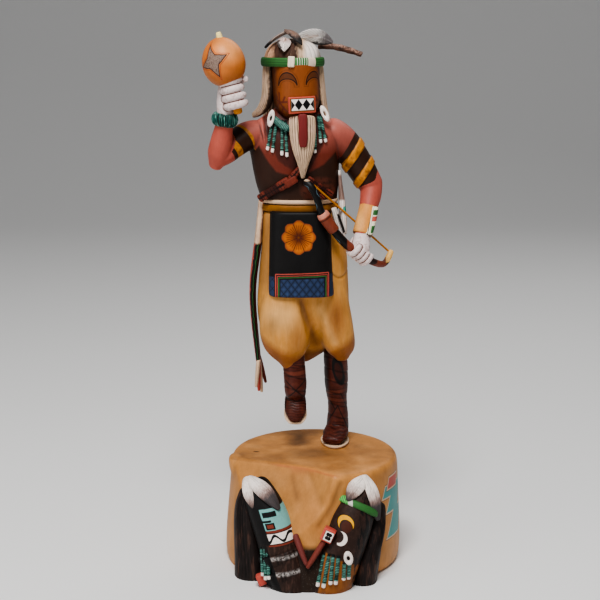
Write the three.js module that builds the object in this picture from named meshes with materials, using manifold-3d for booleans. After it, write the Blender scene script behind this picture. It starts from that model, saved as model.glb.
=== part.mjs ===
// A carved and painted cottonwood kachina doll, dancing on a round base that has two
// mask heads in relief. Millimetres, +Z up. The doll faces -Y, and its right hand is at -X.
// The origin is the middle of the base's underside.

import * as THREE from 'three';
import { mergeVertices } from 'three/addons/utils/BufferGeometryUtils.js';
import Module from 'manifold-3d';

const wasm = await Module();
wasm.setup();

// ---------- driving dimensions ----------

const BASE_HEIGHT = 79;
const BASE_CENTRE_Y = 5;
const BASE_RADIUS = 61.2;
const FIT_GAP = 0.3;
const STICK_RADIUS = 3.2;
const BOW_GRIP_RADIUS = 2.9;
const STRING_RADIUS = 0.8;

const HEAD = { x: -11.7, y: 17, radius: 16.8, chin: 321, brow: 359, turn: 12, roll: 2.5 };
const HOOD = { x: -15.2, y: 21, wide: 21.2, deep: 19.5, band: 360.5, bandHalf: 3.7, crown: 376.5 };
const WAIST = { x: -10.7, y: 22, wide: 26.5, deep: 17, z: 258 };

// ---------- points, sections and bodies ----------

const TURN = 2 * Math.PI;
const point = (x, y, z) => new THREE.Vector3(x, y, z);
const radians = degrees => degrees * Math.PI / 180;

// A number pulled towards 0 or 1 along a superellipse, so a section can be squarer than an oval.
const bowed = (value, power) => Math.sign(value) * Math.abs(value) ** (2 / power);

// Six times the volume inside a closed set of triangles.
function sixVolumes(positions, indices) {
  const corner = i => point(positions[3 * i], positions[3 * i + 1], positions[3 * i + 2]);
  let total = 0;
  for (let i = 0; i < indices.length; i += 3) {
    const cross = corner(indices[i + 1]).cross(corner(indices[i + 2]));
    total += corner(indices[i]).dot(cross);
  }
  return total;
}

// A closed body through rings of equal point count. Both end rings are capped to their middle.
function skin(rings) {
  const count = rings[0].length;
  const positions = [];
  const indices = [];
  for (const ring of rings) {
    for (const p of ring) {
      positions.push(p.x, p.y, p.z);
    }
  }
  for (let r = 0; r < rings.length - 1; r += 1) {
    for (let i = 0; i < count; i += 1) {
      const a = r * count + i;
      const b = r * count + (i + 1) % count;
      indices.push(a, b, b + count, a, b + count, a + count);
    }
  }
  for (const end of [0, rings.length - 1]) {
    const middle = point(0, 0, 0);
    rings[end].forEach(p => middle.add(p));
    middle.divideScalar(count);
    const centre = positions.length / 3;
    positions.push(middle.x, middle.y, middle.z);
    for (let i = 0; i < count; i += 1) {
      const a = end * count + i;
      const b = end * count + (i + 1) % count;
      const fan = end === 0 ? [centre, b, a] : [centre, a, b];
      indices.push(...fan);
    }
  }
  if (sixVolumes(positions, indices) < 0) {
    for (let i = 0; i < indices.length; i += 3) {
      [indices[i + 1], indices[i + 2]] = [indices[i + 2], indices[i + 1]];
    }
  }
  const geometry = new THREE.BufferGeometry();
  geometry.setAttribute('position', new THREE.Float32BufferAttribute(positions, 3));
  geometry.setIndex(indices);
  return geometry;
}

// One oval section: a middle, two half sizes along two directions, and a carved relief.
function section(middle, across, over, wide, deep, sides, power, relief) {
  const ring = [];
  for (let i = 0; i < sides; i += 1) {
    const angle = TURN * i / sides;
    const grow = relief(angle);
    ring.push(middle.clone()
      .addScaledVector(across, wide * grow * bowed(Math.cos(angle), power))
      .addScaledVector(over, deep * grow * bowed(Math.sin(angle), power)));
  }
  return ring;
}

// An upright form of level sections. Each row is [z, x, y, half width, half depth].
function upright(rows, { sides = 16, power = 2, relief = () => 1 } = {}) {
  return skin(rows.map(([z, x, y, wide, deep], k) => section(
    point(x, y, z), point(1, 0, 0), point(0, 1, 0), wide, deep, sides, power,
    angle => relief(angle, k / (rows.length - 1)))));
}

// A limb with sections square to its path and softly rounded ends.
// Each station is [x, y, z, half width, half depth], and the width lies along the given direction.
function limb(stations, { sides = 10, power = 2, along = point(1, 0, 0), round = 0.7,
  relief = () => 1 } = {}) {
  const last = stations.length - 1;
  const middles = stations.map(([x, y, z]) => point(x, y, z));
  const rings = [];
  const place = (k, push, shrink) => {
    const ahead = middles[Math.min(k + 1, last)];
    const behind = middles[Math.max(k - 1, 0)];
    const forward = ahead.clone().sub(behind).normalize();
    const across = along.clone().addScaledVector(forward, -along.dot(forward)).normalize();
    const over = forward.clone().cross(across);
    const [, , , wide, deep] = stations[k];
    const middle = middles[k].clone().addScaledVector(forward, push * Math.min(wide, deep));
    rings.push(section(middle, across, over, wide * shrink, deep * shrink, sides, power,
      angle => relief(angle, k / last)));
  };
  if (round > 0) {
    place(0, -round * 0.8, 0.6);
  }
  for (let k = 0; k <= last; k += 1) {
    place(k, 0, 1);
  }
  if (round > 0) {
    place(last, round * 0.8, 0.6);
  }
  return skin(rings);
}

// ---------- joining and cutting ----------

// A geometry with its shared points merged and nothing else kept on them.
function pointsOnly(geometry) {
  const bare = geometry.clone();
  bare.deleteAttribute('normal');
  bare.deleteAttribute('uv');
  return mergeVertices(bare, 1e-5);
}

function solid(geometry) {
  const merged = pointsOnly(geometry);
  return new wasm.Manifold(new wasm.Mesh({
    numProp: 3,
    vertProperties: new Float32Array(merged.attributes.position.array),
    triVerts: new Uint32Array(merged.index.array),
  }));
}

function joined(geometries) {
  return geometries.map(solid).reduce((whole, piece) => whole.add(piece));
}

function geometryOf(body) {
  const mesh = body.getMesh();
  const geometry = new THREE.BufferGeometry();
  geometry.setAttribute('position', new THREE.Float32BufferAttribute(mesh.vertProperties, 3));
  geometry.setIndex(Array.from(mesh.triVerts));
  return geometry;
}

// The two ends of a straight rod, as a limb with flat ends.
const rod = (from, to, radius, sides = 12) => limb(
  [[...from.toArray(), radius, radius], [...to.toArray(), radius, radius]],
  { sides, round: 0 });

// ---------- the base ----------

// The trunk, with a rounded rim and a slight swell at the foot.
const TRUNK = [[0, 1.8], [3, 3], [16, 3.6], [36, 2.4], [56, 0.8], [74, 0], [77.6, -1.2], [BASE_HEIGHT, -4]];
const TRUNK_SHIFT = [-0.7, 0.8];

function trunk() {
  const [foot, rim] = TRUNK_SHIFT;
  return upright(TRUNK.map(([z, swell]) => [z, foot + (rim - foot) * z / BASE_HEIGHT, BASE_CENTRE_Y,
    BASE_RADIUS + swell, BASE_RADIUS + swell + 1]), { sides: 28 });
}

// Ground left standing between the two masks.
function reliefGround() {
  return upright([[0, -3, -36, 34, 38.5], [20, -3, -36, 33, 32], [44, -1, -33, 34, 28.5],
    [60, 1, -29, 36, 27], [74, 1, -22, 36, 26]], { sides: 18 });
}

// The slanted facet above the V between the masks is cut by a wedge. Its back is the facet, and
// its right side leaves the ridge beside the right mask.
function facetWedge() {
  const slope = 0.728;
  const facetY = z => -33 + slope * (z - BASE_HEIGHT);
  const top = 90;
  const tip = 31;
  const far = -120;
  const tipX = -8;
  const back = [point(-80, facetY(top), top), point(20, facetY(top), top), point(tipX, facetY(tip), tip)];
  const front = [point(-80, far, top), point(14, far, top), point(tipX, far, tip)];
  return skin([back, front]);
}

// A mask head on the base: a leaning rounded column with a collar, and hair down its outer side.
const LEFT_MASK = {
  column: [[-15, -58, -4, 16.5, 17], [-20.5, -56, 17, 16, 15.5], [-27.5, -52, 37, 14.5, 14.5],
    [-35, -46.5, 55, 13.5, 13.5], [-40, -42.5, 66, 10.5, 10.5]],
  hair: [[-42.5, -40, -4, 15, 12.5], [-44, -40, 14, 13, 12.5], [-46, -40, 32, 11.5, 12],
    [-47.5, -38, 50, 10, 11], [-46, -38, 60, 8, 8]],
};
const RIGHT_MASK = {
  column: [[9, -59, -4, 17, 17.5], [13.5, -58, 12, 16.5, 17], [21, -55, 32, 16.5, 16],
    [28, -50, 50, 15.5, 14.5], [33.5, -45, 65, 12, 11.5]],
  hair: [[34, -50, -4, 10.5, 12], [36, -49.5, 10, 10, 12], [40, -45.5, 24, 8, 11.5],
    [43.5, -41.5, 38, 8, 10.5], [45, -38.5, 50, 6.5, 9]],
};

const hairGrooves = (count, depth) => (angle => 1 + depth * Math.cos(count * angle));

// A lying feather: a pointed leaf with a raised middle.
function leaf(root, tip, wide, thick, sag = 0) {
  const stations = [];
  for (const [t, spread] of [[0, 0.55], [0.25, 0.92], [0.55, 1], [0.82, 0.72], [1, 0.24]]) {
    const p = root.clone().lerp(tip, t);
    const droop = sag * 4 * t * (1 - t);
    stations.push([p.x, p.y - droop, p.z + droop, wide * spread, thick * (1 - 0.55 * t)]);
  }
  const run = tip.clone().sub(root);
  const along = run.clone().cross(point(0, -0.6, 0.8)).normalize();
  return limb(stations, { sides: 6, along, round: 0 });
}

function strand(from, to, radius = 1.5) {
  return limb([[...from.toArray(), radius, radius], [...to.toArray(), radius, radius]],
    { sides: 3, round: 0 });
}

function leftMask() {
  const parts = [
    limb(LEFT_MASK.column, { sides: 12 }),
    limb(LEFT_MASK.hair, { sides: 12, round: 0.4, relief: hairGrooves(6, 0.035) }),
    leaf(point(-47, -43, 72), point(-40, -55, 54), 7, 4, 2),
    leaf(point(-45, -43, 72), point(-25, -57.5, 56), 6.5, 4, 4),
    limb([[-12, -60.5, 43, 2.2, 2.4], [-9, -66.5, 32, 2.2, 2.4], [-6, -70, 22, 2, 2.2]], { sides: 6 }),
    strand(point(-36, -62, 30), point(-32.5, -68, 9), 2),
    strand(point(-39, -60, 30), point(-36.5, -65.5, 11), 2),
  ];
  // Collar of fur: two rings around the lower column.
  for (const [x, y, z, wide] of [[-18.6, -56.8, 10, 18.2], [-22, -55.6, 21.5, 17.4]]) {
    parts.push(limb([[x, y, z - 4, wide - 1, wide - 1], [x - 2.4, y + 0.8, z + 4, wide, wide]],
      { sides: 14, round: 0 }));
  }
  return parts;
}

function rightMask() {
  const parts = [
    limb(RIGHT_MASK.column, { sides: 12 }),
    limb(RIGHT_MASK.hair, { sides: 12, round: 0.4, relief: hairGrooves(6, 0.035) }),
    leaf(point(34.5, -45, 73), point(23.5, -58.5, 62.5), 6.6, 4, 3),
    leaf(point(35.5, -45, 73), point(43, -51, 50), 6.2, 4, 4),
    limb([[30.5, -46.5, 56, 18.6, 16], [32.8, -45, 60.5, 18, 15]], { sides: 14, round: 0 }),
    limb([[6, -67.5, 36, 2.2, 2.6], [1, -69, 29, 2.2, 2.6], [-4, -70.8, 22, 2, 2.4]], { sides: 6 }),
    limb([[8.5, -66, 41.5, 7.4, 7.4], [9.7, -71.5, 42.5, 6.6, 6.6]],
      { sides: 4, round: 0.1, along: point(0, 0, 1) }),
    limb([[22.5, -71, 27, 3, 2], [23, -72, 20, 3.2, 2]], { sides: 6 }),
  ];
  // Bead strands lie on the front of the column and spread towards its foot.
  const front = (x, [middleX, middleY, , wide, deep]) => (
    middleY - deep * Math.sqrt(1 - ((x - middleX) / wide) ** 2));
  const [, foot, chest] = RIGHT_MASK.column;
  for (const [x, z] of [[3.5, 7], [8.5, 9], [13.5, 7], [18, 8], [24, 9]]) {
    const topX = x * 0.7 + 7;
    parts.push(strand(point(topX, front(topX, chest), 29), point(x, front(x, foot), z), 2));
  }
  return parts;
}

function baseGeometry() {
  const plain = solid(trunk()).add(solid(reliefGround())).subtract(solid(facetWedge()));
  const carved = plain.add(joined(leftMask())).add(joined(rightMask()));
  const below = new THREE.BoxGeometry(300, 300, 40).translate(0, 0, -20);
  return geometryOf(carved.subtract(solid(below)));
}

// ---------- the figure: head and hair ----------

// Sets the head's own parts, modelled straight, at the head's turn and roll.
function turned(geometry) {
  const pivot = point(HEAD.x, HEAD.y, HEAD.chin);
  const pose = new THREE.Matrix4().makeTranslation(pivot.x, pivot.y, pivot.z);
  pose.multiply(new THREE.Matrix4().makeRotationY(-radians(HEAD.roll)));
  pose.multiply(new THREE.Matrix4().makeRotationZ(radians(HEAD.turn)));
  pose.multiply(new THREE.Matrix4().makeTranslation(-pivot.x, -pivot.y, -pivot.z));
  return geometry.clone().applyMatrix4(pose);
}

function head() {
  const { x, y, radius, chin, brow } = HEAD;
  const face = upright([[chin - 1, x, y + 4, radius * 0.45, radius * 0.6],
    [chin + 2, x, y + 1, radius * 0.72, radius * 0.92], [chin + 8, x, y, radius * 0.93, radius],
    [chin + 16, x, y, radius, radius * 1.03], [brow, x, y, radius, radius]], { sides: 16, power: 2.1 });
  const mouth = new THREE.BoxGeometry(17.5, 4, 12.5).translate(x, y - radius + 0.4, chin + 9);
  return [turned(face), turned(mouth)];
}

function hood() {
  const { x, y, wide, deep, band, bandHalf, crown } = HOOD;
  const cap = upright([[band - bandHalf, x, y, wide + 0.6, deep + 0.6],
    [band - bandHalf + 1, x, y, wide + 1.7, deep + 1.6],
    [band + bandHalf - 1, x, y, wide + 1.7, deep + 1.6],
    [band + bandHalf, x, y, wide * 0.98, deep * 0.98],
    [crown - 5.5, x, y, wide * 0.84, deep * 0.84], [crown - 2, x, y + 0.5, wide * 0.6, deep * 0.6],
    [crown, x, y + 1, wide * 0.25, deep * 0.25]], { sides: 16 });
  const knot = new THREE.BoxGeometry(5, 3, 8).translate(x - 2.5, y - deep - 1.2, band);
  return [cap, knot];
}

// Hair falls beside the mask, over the right shoulder, and in one long lock down the back.
function hair() {
  const back = limb([[-15, 33, 357.5, 19, 7], [-15, 35, 350, 21, 8.5], [-14, 38, 332, 23, 8],
    [-13.5, 39.5, 312, 24.5, 6.5], [-13, 40, 292, 22, 5.5], [-12, 39.5, 274, 17, 4.5],
    [-11.5, 39, 262, 11, 3]], { sides: 14, round: 0, relief: hairGrooves(7, 0.03) });
  const right = limb([[-32, 24, 358, 4.6, 9], [-32.6, 23, 346, 4.6, 10], [-32.8, 22, 336, 4.4, 9],
    [-36.5, 23, 329, 5, 7], [-43.5, 25, 325.5, 3, 5.5], [-48.5, 26, 323.5, 1.6, 3.5]],
  { sides: 8, round: 0, relief: hairGrooves(4, 0.03) });
  const left = limb([[2.5, 26, 358, 4.2, 9], [4.4, 26, 343, 3.8, 10], [7.6, 26, 328, 3.6, 8],
    [11.2, 25, 319, 2.8, 6], [13.6, 25, 314, 1.6, 3]], { sides: 8, round: 0, relief: hairGrooves(4, 0.03) });
  return [back, right, left];
}

function beard() {
  const hang = limb([[-8.6, 2, 327, 9.8, 4.5], [-8.2, 1, 313, 9.6, 4.2], [-7.7, 0.5, 300, 8.2, 4],
    [-7.8, 1.5, 291, 4.2, 3.4], [-7.9, 2.5, 280.5, 1.5, 2.4]],
  { sides: 10, round: 0.3, relief: hairGrooves(5, 0.04) });
  const tongue = limb([[-8.4, -3, 325, 3.8, 1.4], [-8, -3.6, 312, 3.8, 1.4], [-7.8, -3.8, 302, 3.2, 1.2]],
    { sides: 6, power: 3, round: 0 });
  return [hang, tongue];
}

// Shell ear loops and the bead strands that hang from the ears and the necklace.
function ornaments() {
  const loop = (x, y, z, lean) => new THREE.TorusGeometry(3.4, 1.3, 4, 8)
    .scale(0.85, 1.75, 1).rotateX(Math.PI / 2)
    .rotateY(radians(lean)).translate(x, y, z);
  const strands = [
    [-29.5, 9.5, 320, -33, 6.5, 300], [-26.5, 9, 320, -29.5, 5.5, 298.5],
    [-22.5, 8.5, 320, -22.8, 4.6, 296.5], [-20.4, 8, 320, -19.2, 4, 295.5],
    [2.8, 11, 324, 4.6, 7.4, 305], [4.2, 11.5, 324, 8.2, 8, 305.5], [0.6, 7.5, 314, 0.6, 5.5, 298],
    [-31.5, 6, 327, -24, 13, 331], [6.2, 8.4, 329, 0, 13, 331],
  ];
  return [
    loop(-31.8, 6, 322, 12),
    loop(8, 8, 323.6, -32),
    ...strands.map(([x1, y1, z1, x2, y2, z2]) => strand(point(x1, y1, z1), point(x2, y2, z2), 1.7)),
  ];
}

// ---------- the figure: trunk of the body and dress ----------

// Shirt, belt, cord and leather kilt in one upright form: rows from the kilt's low back hem to
// the neck, each [z, x, y, half width, half depth]. The belt and the cord above it stand proud.
const { x: waistX, y: waistY, wide: waistWide, deep: waistDeep, z: waistZ } = WAIST;
const waistRow = (z, grow) => [z, waistX, waistY, waistWide + grow, waistDeep + grow];
const KILT_ROWS = [[139, -13, 36, 10, 4.5], [147, -8, 34, 17, 8], [155, -5, 31, 25, 13.5],
  [163, -6, 28.5, 31.5, 17], [172, -7.2, 26, 34, 20], [184, -7.6, 24, 34.2, 22.4],
  [198, -7.4, 22.5, 33.6, 23.5], [214, -7.4, 22, 32.6, 23.2], [230, -7, 22, 30.8, 22],
  [245, -8.7, 22, 29, 20]];
const BELT_ROWS = [waistRow(waistZ - 3, 0.6), waistRow(waistZ - 2, 1.8), waistRow(waistZ + 1.8, 1.8),
  waistRow(waistZ + 2.6, 0.8), waistRow(waistZ + 3.2, 1.9), waistRow(waistZ + 5.4, 1.9)];
const SHIRT_ROWS = [waistRow(waistZ + 6.4, 0.8), [275, -12, 22, 30.5, 16.8], [290, -13.5, 22, 31.5, 17.8],
  [303, -14, 22, 33.5, 17.5], [312, -14, 22, 33, 15.5], [319, -14.5, 22, 28.5, 12.5],
  [325, -13.5, 22, 18, 10]];

function bodyForm() {
  const rows = [...KILT_ROWS, ...BELT_ROWS, ...SHIRT_ROWS];
  const kiltShare = KILT_ROWS.length / rows.length;
  const folds = (angle, t) => {
    const loose = Math.max(1 - t / kiltShare, 0);
    return 1 + loose * (0.022 * Math.cos(5 * angle + 1) + 0.015 * Math.cos(9 * angle));
  };
  return upright(rows, { sides: 20, power: 2.15, relief: folds });
}

function bandolier() {
  return limb([[-38, 10, 262, 4, 1.6], [-30, 5.5, 267.5, 4.4, 2.2], [-20, 3.5, 274, 4.4, 2.2],
    [-12, 2.5, 280, 4.4, 2.4], [-6, 3, 286, 2.6, 2]],
  { sides: 6, power: 3, round: 0, along: point(-0.55, 0, 0.83) });
}

// A rounded lobe of the kilt over each leg, and the crease between them.
function kiltLobes() {
  const rightLobe = limb([[-17, 17, 206, 15.5, 16], [-19.5, 14, 186, 20, 17.5],
    [-20.5, 14.5, 168, 20.5, 16.5], [-19.6, 14.5, 155, 17.5, 14.5], [-18.2, 13.5, 147.5, 11.5, 10.5],
    [-17.8, 12.5, 142.6, 6.4, 6]], { sides: 12, power: 2.2, round: 0 });
  const leftLobe = limb([[10, 19, 206, 12.5, 14], [13, 17.5, 186, 13.5, 15.5],
    [16.5, 19, 168, 13.5, 14.5], [19.5, 20.5, 155, 12.2, 12], [20.8, 20.5, 150, 10, 9.5],
    [21, 20.5, 146.8, 6, 5.6]], { sides: 12, power: 2.3, round: 0 });
  const crease = limb([[-10, -3, 194, 1.6, 3.5], [-5.5, 0, 180, 3, 5], [-1, 4, 164, 4, 7],
    [1, 8, 150, 6, 10], [1, 8, 138, 8, 12]], { sides: 6, round: 0 });
  return { lobes: [rightLobe, leftLobe], crease };
}

function apron() {
  const panel = upright([[195, -9, 10, 24, 15], [204, -9.2, 10, 23.6, 14.6], [226, -9.5, 11, 22.8, 15],
    [246, -9.8, 13.5, 22.2, 15.8], [254, -9.8, 14, 22, 15.4]], { sides: 12, power: 3.4 });
  return panel;
}

// A long sash hangs edge-on from the right hip, with fringes at its end.
function sash() {
  const hang = limb([[-37, 25, 266, 2.6, 10], [-38.5, 25, 250, 2.8, 11], [-40.5, 26, 230, 3, 11.5],
    [-44, 27, 208, 2.8, 11.5], [-45.3, 28, 190, 2.4, 11.5], [-43.2, 28, 165, 2.2, 11],
    [-41.4, 28, 148, 2, 10.5], [-40.6, 28, 140, 1.8, 10]], { sides: 6, power: 3, round: 0 });
  const fringes = [[-42.2, 21, 123], [-40.2, 27, 118.5], [-37, 34, 122]];
  const tassels = fringes.map(([x, y, z]) => limb([[-40.6, 20 + (y - 20) * 0.9, 143, 1.8, 3.4],
    [(x - 40.6) / 2, y, (z + 143) / 2, 1.8, 2.8], [x, y, z, 1.2, 1.8]], { sides: 4, round: 0 }));
  return [hang, ...tassels];
}

// Folded cloth ends at the left hip.
function hipFlaps() {
  return [
    limb([[19, 18, 268, 3, 7], [21.5, 18, 254, 3.6, 8], [21, 16.5, 243, 3.4, 7], [23.5, 14.5, 232, 1.6, 4]],
      { sides: 6, power: 2.6 }),
    limb([[14.5, 9, 256, 2.4, 4], [17, 8, 243, 3, 4], [19.5, 9, 228, 2.4, 3], [21.5, 9, 219, 1, 1.5]],
      { sides: 6, power: 2.6 }),
  ];
}

// ---------- the figure: arms, hands and legs ----------

const RIGHT_ARM = [[-41, 22, 309, 11.5, 12], [-48, 19.5, 309, 11, 12], [-56, 14, 303.5, 9.6, 10.5],
  [-64, 8.5, 296.5, 8.8, 9.6], [-68.5, 7, 292.5, 6.5, 7.5]];
const RIGHT_FOREARM = [[-69.5, 8, 289.5, 5.6, 6], [-67.2, 6, 297, 9, 9], [-65.4, 3.6, 305, 8.4, 8.2],
  [-63.4, 0.6, 315, 6.8, 6.8], [-62.4, -1, 322, 6, 6]];
const LEFT_ARM = [[13, 23.5, 312, 9.8, 12], [18.5, 24.5, 308, 11.2, 12], [26, 25, 298, 11.6, 12],
  [34.2, 25, 284, 11, 11], [40.6, 25, 274, 9.6, 9.8]];
const LEFT_FOREARM = [[42, 26, 275, 8.2, 8.6], [41.2, 21, 265, 8.4, 8.4], [39, 15.5, 257, 6.6, 7],
  [36.5, 11, 248, 6.2, 6.4], [34.3, 7, 240, 6, 6]];

function arms() {
  const right = limb(RIGHT_ARM, { sides: 10, along: point(0.4, 0, 1), round: 0 });
  const rightFore = limb(RIGHT_FOREARM, { sides: 10, round: 0.5 });
  const left = limb(LEFT_ARM, { sides: 10, round: 0 });
  const leftFore = limb(LEFT_FOREARM, { sides: 10, round: 0.5 });
  const spikes = angle => 1 + 0.06 * Math.cos(7 * angle);
  const bracelet = limb([[-63.2, -0.6, 317.5, 7.6, 7.6], [-62.9, -1, 319.5, 9.6, 9.4],
    [-62.3, -1.2, 323.5, 9.8, 9.4], [-62, -1.4, 326, 7.8, 7.6]], { sides: 14, round: 0, relief: spikes });
  const cuff = limb([[39.4, 15.8, 258, 7, 7], [37.2, 12, 249.5, 7, 7], [34.4, 7.4, 239, 7.4, 7.2]],
    { sides: 10, power: 2.4, round: 0 });
  const plate = limb([[43.5, 13, 257.5, 3, 4.5], [41.8, 9, 248, 3, 4.5], [38.6, 4.6, 238.5, 3, 4.5]],
    { sides: 6, power: 3, round: 0 });
  return [right, rightFore, left, leftFore, bracelet, cuff, plate];
}

// The rattle's peg leans a little to the doll's right. The right fist closes around it.
const STICK_FOOT = point(-53.2, -4, 326.9);
const STICK_HEAD = point(-66.5, -4, 382);
const GOURD_CENTRE = point(-62.9, -4, 361.2);
const STICK_WAY = STICK_HEAD.clone().sub(STICK_FOOT).normalize();

// Four fingers curl around a shaft. Each is an arc about the shaft's line.
function fingers(start, way, spacing, curl, thick, from, to, reach = point(1, 0, 0)) {
  const across = reach.clone().addScaledVector(way, -reach.dot(way)).normalize();
  const ahead = way.clone().cross(across);
  const result = [];
  for (let finger = 0; finger < 4; finger += 1) {
    const middle = start.clone().addScaledVector(way, spacing * finger);
    const stations = [];
    const steps = 3;
    for (let step = 0; step <= steps; step += 1) {
      const angle = radians(from + (to - from) * step / steps);
      const p = middle.clone()
        .addScaledVector(across, curl * Math.cos(angle))
        .addScaledVector(ahead, curl * Math.sin(angle));
      stations.push([p.x, p.y, p.z, thick, thick * 0.9]);
    }
    result.push(limb(stations, { sides: 6, along: way, round: 0.6 }));
  }
  return result;
}

function rightHand() {
  const first = STICK_FOOT.clone().addScaledVector(STICK_WAY, 5.2);
  return [
    limb([[-62, -1, 322, 6, 5.4], [-62.6, 0, 330, 6, 6.2], [-63, 1, 339, 5.4, 6.6],
      [-62, 1.5, 347, 4.4, 5.4]],
      { sides: 8 }),
    ...fingers(first, STICK_WAY, 5.6, 7, 3, 195, 372),
    limb([[-60, 5, 338, 3, 3], [-55, 5.5, 345, 3, 3], [-50, 2.5, 349.5, 2.8, 2.8],
      [-48, -3, 349.5, 2.4, 2.4]],
      { sides: 6 }),
  ];
}

const BOW_GRIP = point(32.9, 3, 226.3);
const BOW_WAY = point(0.70, 0.36, -0.615).normalize();

function leftHand() {
  const first = BOW_GRIP.clone().addScaledVector(BOW_WAY, -6);
  return [
    limb([[34.3, 7, 240, 5.6, 5.2], [34, 4, 234.5, 6.6, 5.2], [33, 1, 229, 7, 4.6]], { sides: 8 }),
    ...fingers(first, BOW_WAY, 4, 5.6, 2.5, 60, 300, point(0.55, 0.2, 0.8)),
    limb([[30, 7, 236, 2.6, 2.6], [26, 5.5, 232, 2.6, 2.6], [25, 2.5, 226.5, 2.3, 2.3]], { sides: 6 }),
  ];
}

// The right leg is lifted with its toe down, and the left leg stands on the base.
function legs() {
  const bent = limb([[-15, 17, 158, 8.6, 9.5], [-14.7, 16, 143, 8.4, 9.2], [-13.4, 15, 131, 8.9, 9.6],
    [-13.3, 12.5, 121, 8.4, 10.4]], { sides: 10, round: 0 });
  const bentFoot = limb([[-13.6, 22, 121, 6.2, 6.4], [-13.5, 15, 117, 8.2, 7.6], [-13.3, 9, 110, 8.6, 5.6],
    [-13.2, 5.6, 104.6, 7, 3.6]], { sides: 10, round: 0.9 });
  const bentSole = limb([[-13.6, 25, 116.5, 6.2, 1.2], [-13.5, 18, 111.5, 7.8, 1.2],
    [-13.3, 11, 105.5, 8.6, 1.2], [-13.1, 6.6, 101.3, 6.4, 1.2]], { sides: 8, round: 1.2 });
  const standing = limb([[16, 27, 160, 9, 10], [16.4, 28.5, 144, 9.4, 10], [17, 30, 130, 9.3, 10],
    [17.2, 30.8, 120, 9.1, 9.6], [18, 31.6, 110, 7.1, 8.4], [18.6, 32, 101, 8, 9],
    [18.2, 32, 90, 8.8, 10.5], [17.8, 31.5, 82, 9, 11]], { sides: 10, round: 0 });
  const foot = limb([[18.6, 40, 87, 7.6, 6.6], [18, 31, 88.5, 9.4, 8.2], [16.2, 21.5, 86.5, 10, 6],
    [13.6, 13, 84.2, 8, 3.8]], { sides: 10, round: 0.7 });
  const bottom = BASE_HEIGHT + FIT_GAP;
  const sole = upright([[bottom, 16.2, 28, 10.4, 20.5], [bottom + 1.8, 16.2, 28, 10.8, 21]], { sides: 14 });
  return { limbs: [bent, bentFoot, bentSole, standing, foot, sole], bottom };
}

function figureGeometry() {
  const { lobes, crease } = kiltLobes();
  const { limbs, bottom } = legs();
  const dress = joined([bodyForm(), ...lobes]).subtract(solid(crease));
  const carving = joined([...head(), ...hood(), ...hair(), ...beard(), ...ornaments(), bandolier(), apron(),
    ...sash(), ...hipFlaps(), ...arms(), ...rightHand(), ...leftHand(), ...limbs]);
  const whole = dress.add(carving);
  const floor = new THREE.BoxGeometry(200, 200, 40).translate(0, 0, bottom - 20);
  const stickHole = rod(STICK_FOOT.clone().addScaledVector(STICK_WAY, -12),
    STICK_FOOT.clone().addScaledVector(STICK_WAY, 30), STICK_RADIUS + FIT_GAP);
  const gourdRoom = gourdShape(FIT_GAP);
  const bowRoom = bowShape(FIT_GAP);
  const stringRoom = stringShape(FIT_GAP);
  return geometryOf(whole.subtract(solid(floor)).subtract(solid(stickHole))
    .subtract(solid(gourdRoom)).subtract(solid(bowRoom)).subtract(solid(stringRoom)));
}

// ---------- rattle, bow and feathers ----------

// The gourd is turned about the peg. Its profile starts and ends on the peg's line.
function gourdShape(grow = 0) {
  const profile = [];
  const rows = 9;
  for (let k = 0; k <= rows; k += 1) {
    const angle = Math.PI * k / rows - Math.PI / 2;
    const egg = 1 - 0.05 * Math.sin(angle);
    const radius = k === 0 || k === rows ? 0 : (15 + grow) * egg * Math.cos(angle);
    profile.push(new THREE.Vector2(radius, (17.2 + grow) * Math.sin(angle)));
  }
  const geometry = new THREE.LatheGeometry(profile, 16);
  const turn = new THREE.Quaternion().setFromUnitVectors(point(0, 1, 0), STICK_WAY);
  return geometry.applyQuaternion(turn).translate(...GOURD_CENTRE.toArray());
}

function gourdGeometry() {
  const bore = rod(STICK_FOOT, STICK_FOOT.clone().addScaledVector(STICK_WAY, 80), STICK_RADIUS + FIT_GAP);
  return geometryOf(solid(gourdShape()).subtract(solid(bore)));
}

function stickGeometry() {
  const length = STICK_HEAD.distanceTo(STICK_FOOT);
  const at = distance => STICK_FOOT.clone().addScaledVector(STICK_WAY, distance).toArray();
  return limb([[...at(0), STICK_RADIUS, STICK_RADIUS], [...at(length - 8), STICK_RADIUS, STICK_RADIUS],
    [...at(length - 3), 2.8, 2.8], [...at(length - 1), 2.4, 2.4]], { sides: 12, round: 0.4 });
}

// The bow's limbs curve back at both tips, and a wrapped length swells above the fist.
const BOW_PATH = [[-5.6, -2.6, 277.6, 2.4, 2.4], [-2.6, -4.6, 275.6, 2.9, 2.9], [0.4, -5.4, 270.5, 2.7, 2.7],
  [2.8, -6, 264.3, 2.6, 2.6], [4.1, -6, 259, 2.7, 2.7], [6.4, -5.2, 253.6, 3.2, 3.2],
  [8, -4.7, 251.2, 4.1, 4.1], [14.4, -3.2, 243, 4.1, 4.1], [15.6, -2.9, 241.4, 3, 3],
  [21.5, -1, 234.3, 2.9, 2.9], [26.5, 1, 230.2, 2.9, 2.9],
  [32.9, 3.6, 225.4, BOW_GRIP_RADIUS, BOW_GRIP_RADIUS],
  [39.7, 8, 220.1, 2.8, 2.8], [46.5, 15, 216.3, 2.7, 2.7], [51.4, 20.6, 214.8, 2.6, 2.6],
  [54.2, 24.6, 218.6, 2.4, 2.4], [56.4, 27.4, 223.2, 2, 2]];

function bowShape(grow = 0) {
  const rows = BOW_PATH.map(([x, y, z, wide, deep]) => [x, y, z, wide + grow, deep + grow]);
  return limb(rows, { sides: 7, along: point(1, 0, 1), round: 0.6 });
}

const STRING_TOP = point(-0.2, 0.9, 275.2);
const STRING_FOOT = point(55, 27.2, 223.6);

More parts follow.
